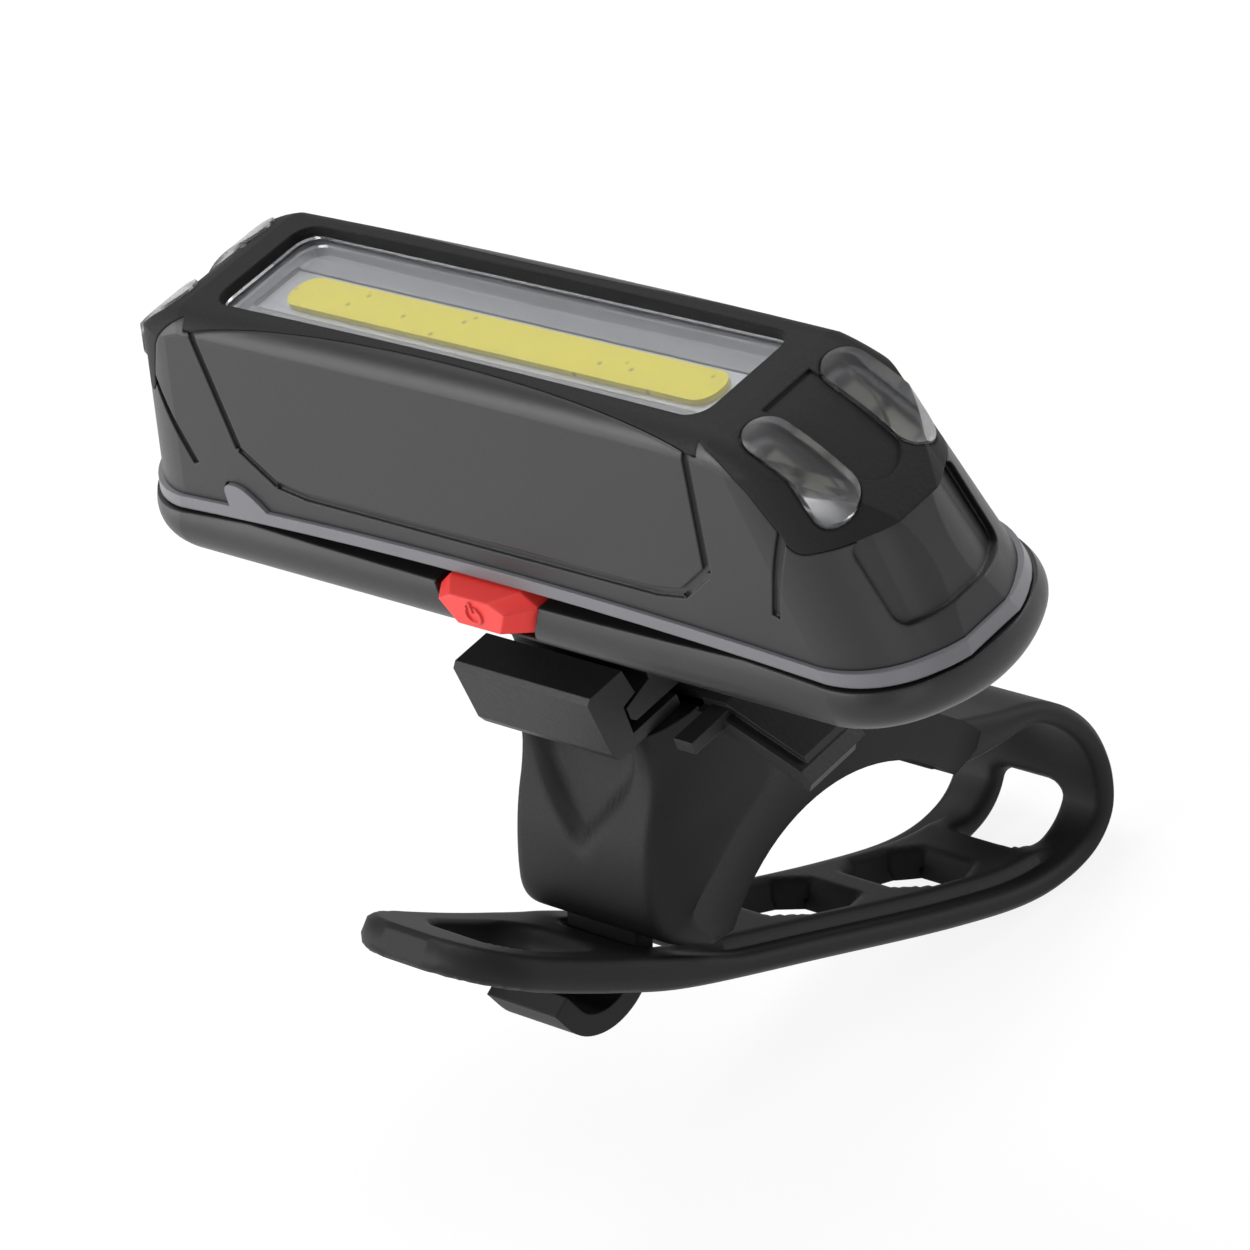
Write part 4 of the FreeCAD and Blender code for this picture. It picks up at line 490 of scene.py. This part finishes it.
strap_bm = bmesh.new()
cells_long = round(strap_length / CELL)
cells_wide = round(STRAP_WIDTH / CELL)
bmesh.ops.create_grid(strap_bm, x_segments=cells_long, y_segments=cells_wide, size=0.5)
for vert in strap_bm.verts:
    vert.co = Vector(((vert.co.x + 0.5) * strap_length, vert.co.y * STRAP_WIDTH, 0))
cut_away = [face for face in strap_bm.faces if edge_gap(*face.calc_center_median().xy) > 0]
bmesh.ops.delete(strap_bm, geom=cut_away, context="FACES")
for vert in [vert for vert in strap_bm.verts if vert.is_boundary]:
    for _ in range(SNAP_ROUNDS):
        gap = edge_gap(*vert.co.xy)
        if vert.co.x > ROOT_LINE and abs(gap) < SNAP_REACH:
            vert.co -= outline_slope(*vert.co.xy) * gap
print("strap cells:", len(strap_bm.faces))

# %% [markdown]
# The grid is extruded once, and the upright edges this gives are cut in two, so that the
# walls have a middle line. The heights 0, 1 and 2 stand for the outer side, this line and
# the inner side until the true thickness replaces them in the next cell.

# %% Give the strap two sides and a wall
flat_faces = list(strap_bm.faces)
walls = bmesh.ops.extrude_face_region(strap_bm, geom=flat_faces)
for item in walls["geom"]:
    if isinstance(item, bmesh.types.BMVert):
        item.co.z = 2.0
uprights = [edge for edge in strap_bm.edges
            if abs(edge.verts[0].co.z - edge.verts[1].co.z) > 1.0]
bmesh.ops.subdivide_edges(strap_bm, edges=uprights, cuts=1)
print("upright edges cut in two:", len(uprights))

# %% [markdown]
# The strap's inner side carries a raised plateau round its holes, which stiffens them, with
# a lower shelf along both edges; the pull tab is raised over its full width. The root is
# thicker, where it grows out of the saddle. The edges are softened, the walls swell a
# little to the line where the two halves of the mould met, and the hook's holes narrow
# towards the outer side, as the walls of a moulded hole do.

# %% Thicken the strap
PLATE = 2.1
PLATEAU = 1.0
PLATEAU_EDGE = (6.6, 7.2)
PLATEAU_RAMP = (SLOT[1] - 4, SLOT[1] + 1)
ROOT_EXTRA = 2.2
ROOT_FADE = (2.0, 14.0)
EDGE_SOFTENING = 0.45
SOFT_WIDTH = 0.6
RIDGE = 0.25
RIDGE_HEIGHT = 0.4
DRAFT = 1.0
DRAFT_HALF = 6.0
ON_OUTLINE = 0.05


def step_between(value, low, high):
    """0 below low, 1 above high and a smooth step between them."""
    t = min(max((value - low) / (high - low), 0.0), 1.0)
    return t * t * (3 - 2 * t)


def strap_thickness(s, x):
    """Thickness of the rubber at a place in the plan."""
    free_end = step_between(s, SQUARE_HOLE[0] - 1, SQUARE_HOLE[1])
    plateau = PLATEAU * max(1 - step_between(abs(x), *PLATEAU_EDGE), free_end)
    plateau *= step_between(s, *PLATEAU_RAMP)
    root = ROOT_EXTRA * (1 - step_between(s, *ROOT_FADE))
    return PLATE + plateau + root


def at_hook_holes(s, x, gap):
    """Whether a place on the outline lies on the rim of one of the hook's holes."""
    return (gap < ON_OUTLINE and abs(x) < DRAFT_HALF
            and HOOK_HOLES[0][0] - 1 < s < HOOK_HOLES[1][1] + 1)


for vert in strap_bm.verts:
    s, x, height = vert.co
    gap = -edge_gap(s, x)
    soften = EDGE_SOFTENING * (1 - step_between(gap, 0.0, SOFT_WIDTH))
    full = strap_thickness(s, x)
    if height > 1.5:
        vert.co.z = full - soften
    elif height < 0.5:
        if at_hook_holes(s, x, gap):
            vert.co += outline_slope(s, x) * DRAFT
        vert.co.z = soften
    else:
        vert.co += outline_slope(s, x) * RIDGE
        vert.co.z = RIDGE_HEIGHT * full
print("thickness at the root and on the tab:",
      [round(strap_thickness(place, 0), 1) for place in (0, strap_length)])

# %% [markdown]
# The flat strap is bent last. A place on it keeps its distance along the path, and its
# height in the rubber is laid off inwards, square to the path. A finished bmesh then
# becomes an object with smooth faces and sharp creases, at the frame's origin, that rides
# on the light's body. The slot's name ties it to the rubber of the CAD piece it replaces.

# %% Bend the strap and finish it
CREASE_ANGLE = math.radians(50)


def bend_point(s, x, height):
    """A point of the flat strap on its bent path; height is measured inwards."""
    point, direction = along(s)
    inward = Vector((direction.y, -direction.x))
    place = point + inward * height
    return spot(x, place.x, place.y)


def finish_piece(bm, name, material):
    """Turn a finished bmesh into a smooth-shaded piece that rides on the light."""
    mesh = bpy.data.meshes.new(name)
    bm.to_mesh(mesh)
    bm.free()
    for polygon in mesh.polygons:
        polygon.use_smooth = True
    mesh.set_sharp_from_angle(angle=CREASE_ANGLE)
    mesh.materials.append(material)
    piece = bpy.data.objects.new(name, mesh)
    bpy.context.scene.collection.objects.link(piece)
    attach(piece, "light")
    return piece


for vert in strap_bm.verts:
    vert.co = bend_point(*vert.co)
bmesh.ops.recalc_face_normals(strap_bm, faces=strap_bm.faces)
print("strap faces:", len(strap_bm.faces))
strap_band = finish_piece(strap_bm, "strap_band", strap_silicone)
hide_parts("mount_strap")

# %% [markdown]
# The saddle's section is the outline that a cut across the bar would show: its front wall,
# the arch that sits on the bar, and its back and top. Towards the saddle's two ends the
# front wall falls back in a quarter circle to a parting line, so each slice along the bar
# blends between the full wall and the narrower one. The two close pairs of points in the
# top are the edges of the groove that the latch springs down into.

# %% The saddle's section
TOP = -37.7
FULL_WALL = smooth_path([
    (-7.4, TOP), (-7.9, -41.0), (-9.2, -43.6), (-10.6, -45.6), (-11.8, -47.6), (-12.8, -50.0),
    (-13.6, -52.4), (-13.8, -54.2), (-13.4, -55.8), (-12.2, -57.2), (-10.6, -58.2)], 3)
PARTING_WALL = smooth_path([
    (4.5, TOP), (4.4, -41.0), (4.2, -44.0), (3.9, -46.2), (3.1, -48.5), (-1.8, -49.9),
    (-5.6, -51.4), (-8.9, -52.7), (-10.9, -53.7), (-10.9, -55.4), (-9.9, -57.8)], 3)
SEAT_RADIUS = 19.0
ARCH = [(BAR_OFFSET + SEAT_RADIUS * math.sin(math.radians(turn)),
         -BAR_DEPTH + SEAT_RADIUS * math.cos(math.radians(turn))) for turn in range(-41, 60, 4)]
BACK = [
    (24.4, -62.4), (25.6, -61.2), (24.2, -59.0), (22.4, -57.0), (19.8, -54.2), (16.8, -51.4),
    (14.0, -48.2), (11.6, -45.0), (10.0, -41.4), (9.0, TOP), (2.05, TOP), (1.95, TOP),
    (-1.95, TOP), (-2.05, TOP)]
section = FULL_WALL + ARCH + BACK
print("points in the section:", len(section))

# %% [markdown]
# The section becomes one face, which is extruded slice by slice along the bar. Extruding
# leaves a face inside at every slice, and these are deleted. Each corner keeps its number
# in the section, so that a later step can still tell which point of the outline it is.

# %% Slice the saddle along the bar
SADDLE_HALF = 10.7
SLICES = 44

saddle_bm = bmesh.new()
order = saddle_bm.verts.layers.int.new("order")
outline = []
for number, (y, z) in enumerate(section):
    vert = saddle_bm.verts.new((-SADDLE_HALF, y, z))
    vert[order] = number
    outline.append(vert)
current = [saddle_bm.faces.new(outline)]
for _ in range(SLICES):
    made = bmesh.ops.extrude_face_region(saddle_bm, geom=current)
    current = [item for item in made["geom"] if isinstance(item, bmesh.types.BMFace)]
    moved = [item for item in made["geom"] if isinstance(item, bmesh.types.BMVert)]
    bmesh.ops.translate(saddle_bm, verts=moved, vec=(2 * SADDLE_HALF / SLICES, 0, 0))
inner = [face for face in saddle_bm.faces
         if len(face.verts) > 4 and abs(abs(face.verts[0].co.x) - SADDLE_HALF) > 0.1]
bmesh.ops.delete(saddle_bm, geom=inner, context="FACES_ONLY")
print("slices:", SLICES, "inner faces deleted:", len(inner))

# %% [markdown]
# Now the slices get their form. They are drawn together towards the ends, where the wall
# curves most. The outer face carries a shallow V-shaped step, which points down to the
# strap, and the groove for the latch is pressed into the top from its root to the front.

# %% Shape the saddle
FLAT_HALF = 7.8
GROOVE_START = -6.5
GROOVE_DEPTH = 2.6
GROOVE_HALF = 2.0
GROOVE_MOUTH = 2.6
CREASE_MIDDLE = -0.4
CREASE_HALF = 7.0
CREASE_TOP = -41.5
CREASE_DROP = 7.0
CREASE_DEPTH = 1.5
CREASE_SOFT = 0.7
CREASE_FADE = 0.35


def crease(x, z):
    """How deep the V-shaped step of the outer face lies at a place, in millimetres."""
    reach = 1 - abs(x - CREASE_MIDDLE) / CREASE_HALF
    line = CREASE_TOP - CREASE_DROP * max(0.0, reach)
    depth = CREASE_DEPTH * step_between(z, line - CREASE_SOFT, line + CREASE_SOFT)
    return depth * step_between(reach, 0.0, CREASE_FADE)


for vert in saddle_bm.verts:
    x, y, z = vert.co
    x = SADDLE_HALF * math.sin(x / SADDLE_HALF * math.pi / 2)
    t = min(max((abs(x) - FLAT_HALF) / (SADDLE_HALF - FLAT_HALF), 0.0), 1.0)
    fall = 1 - math.sqrt(1 - t * t)
    in_groove = x > GROOVE_START
    if vert[order] < len(FULL_WALL):
        y, z = FULL_WALL[vert[order]].lerp(PARTING_WALL[vert[order]], fall)
        y += crease(x, z) * (1 - fall)
        if in_groove and abs(y) < GROOVE_MOUTH:
            z = min(z, TOP - GROOVE_DEPTH)
    elif abs(z - TOP) < 0.01:
        y = max(y, FULL_WALL[0].x + (PARTING_WALL[0].x - FULL_WALL[0].x) * fall)
        if in_groove and abs(y) < GROOVE_HALF:
            z -= GROOVE_DEPTH
    vert.co = spot(x, y, z)
bmesh.ops.recalc_face_normals(saddle_bm, faces=saddle_bm.faces)
print("groove in the saddle's top:", 2 * GROOVE_HALF, "mm wide,", GROOVE_DEPTH, "mm deep")

# %% [markdown]
# The two end faces get a narrow sloping rim, as a moulding's edges are never sharp. They
# have many corners and aren't flat all over, so they are divided into triangles, which
# every program shades alike.

# %% Rim the saddle's ends and finish it
RIM_WIDTH = 0.3
RIM_DROP = 0.2

caps = [face for face in saddle_bm.faces if len(face.verts) > 4]
bmesh.ops.inset_region(saddle_bm, faces=caps, thickness=RIM_WIDTH * MM, depth=-RIM_DROP * MM)
caps = [face for face in saddle_bm.faces if len(face.verts) > 4]
bmesh.ops.triangulate(saddle_bm, faces=caps)
print("saddle faces:", len(saddle_bm.faces))
saddle_block = finish_piece(saddle_bm, "saddle_block", strap_silicone)
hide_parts("mount_strap")

# %% [markdown]
# The hook under the saddle is a bent tongue of the same rubber, a little under 9 mm wide.
# It is made like the strap: a narrow grid, thickened and bent along its own path.

# %% The hook
HOOK_PATH = [(-10.9, -56.2), (-11.8, -58.2), (-12.9, -60.2), (-15.4, -61.8), (-18.2, -62.3),
             (-20.8, -61.7), (-22.8, -60.1), (-24.2, -57.0)]
HOOK_WIDTH = 8.8
HOOK_THICKNESS = 2.0

hook_line = smooth_path(HOOK_PATH, 6)
last = len(hook_line) - 1
hook_bm = bmesh.new()
bmesh.ops.create_grid(hook_bm, x_segments=last, y_segments=8, size=0.5)
for vert in hook_bm.verts:
    vert.co = Vector((round((vert.co.x + 0.5) * last), vert.co.y * HOOK_WIDTH, 0))
made = bmesh.ops.extrude_face_region(hook_bm, geom=list(hook_bm.faces))
for item in made["geom"]:
    if isinstance(item, bmesh.types.BMVert):
        item.co.z = HOOK_THICKNESS
for vert in hook_bm.verts:
    index = int(vert.co.x)
    direction = (hook_line[min(index + 1, last)] - hook_line[max(index - 1, 0)]).normalized()
    place = hook_line[index] + Vector((direction.y, -direction.x)) * vert.co.z
    vert.co = spot(vert.co.y, place.x, place.y)
bmesh.ops.recalc_face_normals(hook_bm, faces=hook_bm.faces)
print("hook faces:", len(hook_bm.faces))
strap_hook = finish_piece(hook_bm, "strap_hook", strap_silicone)
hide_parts("mount_strap")

# %% [markdown]
# The studio is a pale table in a white room. The table looks white to the camera, to
# reflections and through glass, while the lamps alone decide how bright the light itself
# is. A part of the table's shading stays real, so the object keeps a shadow.

# %% The pale table
GLOW_SHARE = 0.86
TABLE_REACH = 3.0
TABLE_GAP = 0.0005


def pale_floor(name):
    """Paper white to the camera, with a faint real shadow."""
    material, tree, output, place = new_material(name)
    rays = add(tree, "ShaderNodeLightPath")
    seen = add(tree, "ShaderNodeMath", {
        0: rays.outputs["Is Camera Ray"], 1: rays.outputs["Is Glossy Ray"]},
        operation="MAXIMUM")
    seen = add(tree, "ShaderNodeMath", {
        0: seen.outputs[0], 1: rays.outputs["Is Transmission Ray"]}, operation="MAXIMUM")
    share = add(tree, "ShaderNodeMath", {0: seen.outputs[0], 1: GLOW_SHARE},
                operation="MULTIPLY")
    paper = add(tree, "ShaderNodeBsdfDiffuse", {"Color": colour("#f2f2f2")})
    white = add(tree, "ShaderNodeEmission", {"Color": (1, 1, 1, 1), "Strength": 1.0})
    blend = add(tree, "ShaderNodeMixShader", {
        0: share.outputs[0], 1: paper.outputs[0], 2: white.outputs[0]})
    tree.links.new(blend.outputs[0], output.inputs["Surface"])
    return material


lowest = cad_box[0].z
floor_bm = bmesh.new()
bmesh.ops.create_grid(floor_bm, x_segments=1, y_segments=1, size=TABLE_REACH)
bmesh.ops.translate(floor_bm, verts=floor_bm.verts, vec=(0, 0, lowest - TABLE_GAP))
floor_mesh = bpy.data.meshes.new("table_top")
floor_bm.to_mesh(floor_mesh)
floor_bm.free()
floor_mesh.materials.append(pale_floor("Paper, white"))
table_top = bpy.data.objects.new("table_top", floor_mesh)
bpy.context.scene.collection.objects.link(table_top)
print("table at", round(lowest * 1000, 1), "mm")

# %% [markdown]
# The room is white where the camera sees it, straight or through clear plastic, and much
# dimmer where it lights the object, so that dark plastic stays dark.

# %% The white room
ROOM_LIGHT = 0.42

world = bpy.data.worlds.new("White room")
bpy.context.scene.world = world
world.use_nodes = True
tree = world.node_tree
tree.nodes.clear()
rays = add(tree, "ShaderNodeLightPath")
seen = add(tree, "ShaderNodeMath", {
    0: rays.outputs["Is Camera Ray"], 1: rays.outputs["Is Transmission Ray"]},
    operation="MAXIMUM")
lit = add(tree, "ShaderNodeBackground", {"Color": (1, 1, 1, 1), "Strength": ROOM_LIGHT})
white = add(tree, "ShaderNodeBackground", {"Color": (1, 1, 1, 1), "Strength": 1.0})
blend = add(tree, "ShaderNodeMixShader", {
    0: seen.outputs[0], 1: lit.outputs[0], 2: white.outputs[0]})
add(tree, "ShaderNodeOutputWorld", {"Surface": blend.outputs[0]})
print("room ready")

# %% [markdown]
# Five soft boxes light the object: a large one before the button's side, one overhead, one
# behind that draws the pale rim on the nose, a weak one from under the camera, and a low
# one on the left that reaches the strap under the light.

# %% The lamps
def soft_box(name, place, target, width, height, power):
    """A rectangular area lamp that faces a target; places are measured from the light's top."""
    lamp = bpy.data.lights.new(name, "AREA")
    lamp.shape = "RECTANGLE"
    lamp.size = width * MM
    lamp.size_y = height * MM
    lamp.energy = power
    item = bpy.data.objects.new(name, lamp)
    item.location = spot(*place)
    item.rotation_mode = "QUATERNION"
    item.rotation_quaternion = (spot(*target) - spot(*place)).to_track_quat("-Z", "Y")
    bpy.context.scene.collection.objects.link(item)


soft_box("key_box", (-250, -560, 260), (0, 0, -30), 500, 300, 3.4)
soft_box("top_box", (-200, 150, 600), (0, 0, -30), 400, 300, 3.0)
soft_box("rim_box", (300, 450, 200), (30, 0, -20), 300, 300, 1.4)
soft_box("fill_box", (450, -350, 60), (0, 0, -40), 300, 300, 0.3)
soft_box("left_box", (-450, -250, -60), (-20, 0, -30), 300, 300, 0.8)

# %% [markdown]
# The camera looks at the button's side and the nose from above, a little tilted, with a
# long lens that keeps the lines nearly parallel. Its lens is given as the focal length in
# pixels of a picture 1250 pixels wide, which the sensor's width turns into millimetres.

# %% The camera
AZIMUTH = math.radians(55.0)
ELEVATION = math.radians(31.76)
ROLL = math.radians(-21.56)
CAMERA_PLACE = (395.7, -276.1, 265.5)
FOCAL_PIXELS = 6520.3
PICTURE_PIXELS = 1250
SENSOR_WIDTH = 36.0

back = Vector((math.sin(AZIMUTH) * math.cos(ELEVATION),
               -math.cos(AZIMUTH) * math.cos(ELEVATION), math.sin(ELEVATION)))
level = Vector((math.cos(AZIMUTH), math.sin(AZIMUTH), 0))
upright = back.cross(level)
right = math.cos(ROLL) * level + math.sin(ROLL) * upright
up = -math.sin(ROLL) * level + math.cos(ROLL) * upright
turn = Matrix((right, up, back)).transposed().to_4x4()

camera = bpy.data.cameras.new("photo_camera")
camera.sensor_width = SENSOR_WIDTH
camera.lens = FOCAL_PIXELS / PICTURE_PIXELS * SENSOR_WIDTH
camera.clip_start = 0.01
camera.clip_end = 20.0
photo_camera = bpy.data.objects.new("photo_camera", camera)
photo_camera.matrix_world = Matrix.Translation(spot(*CAMERA_PLACE)) @ turn
bpy.context.scene.collection.objects.link(photo_camera)
bpy.context.scene.camera = photo_camera
bpy.context.scene.view_settings.view_transform = "Standard"
print("lens in mm:", round(camera.lens, 1))
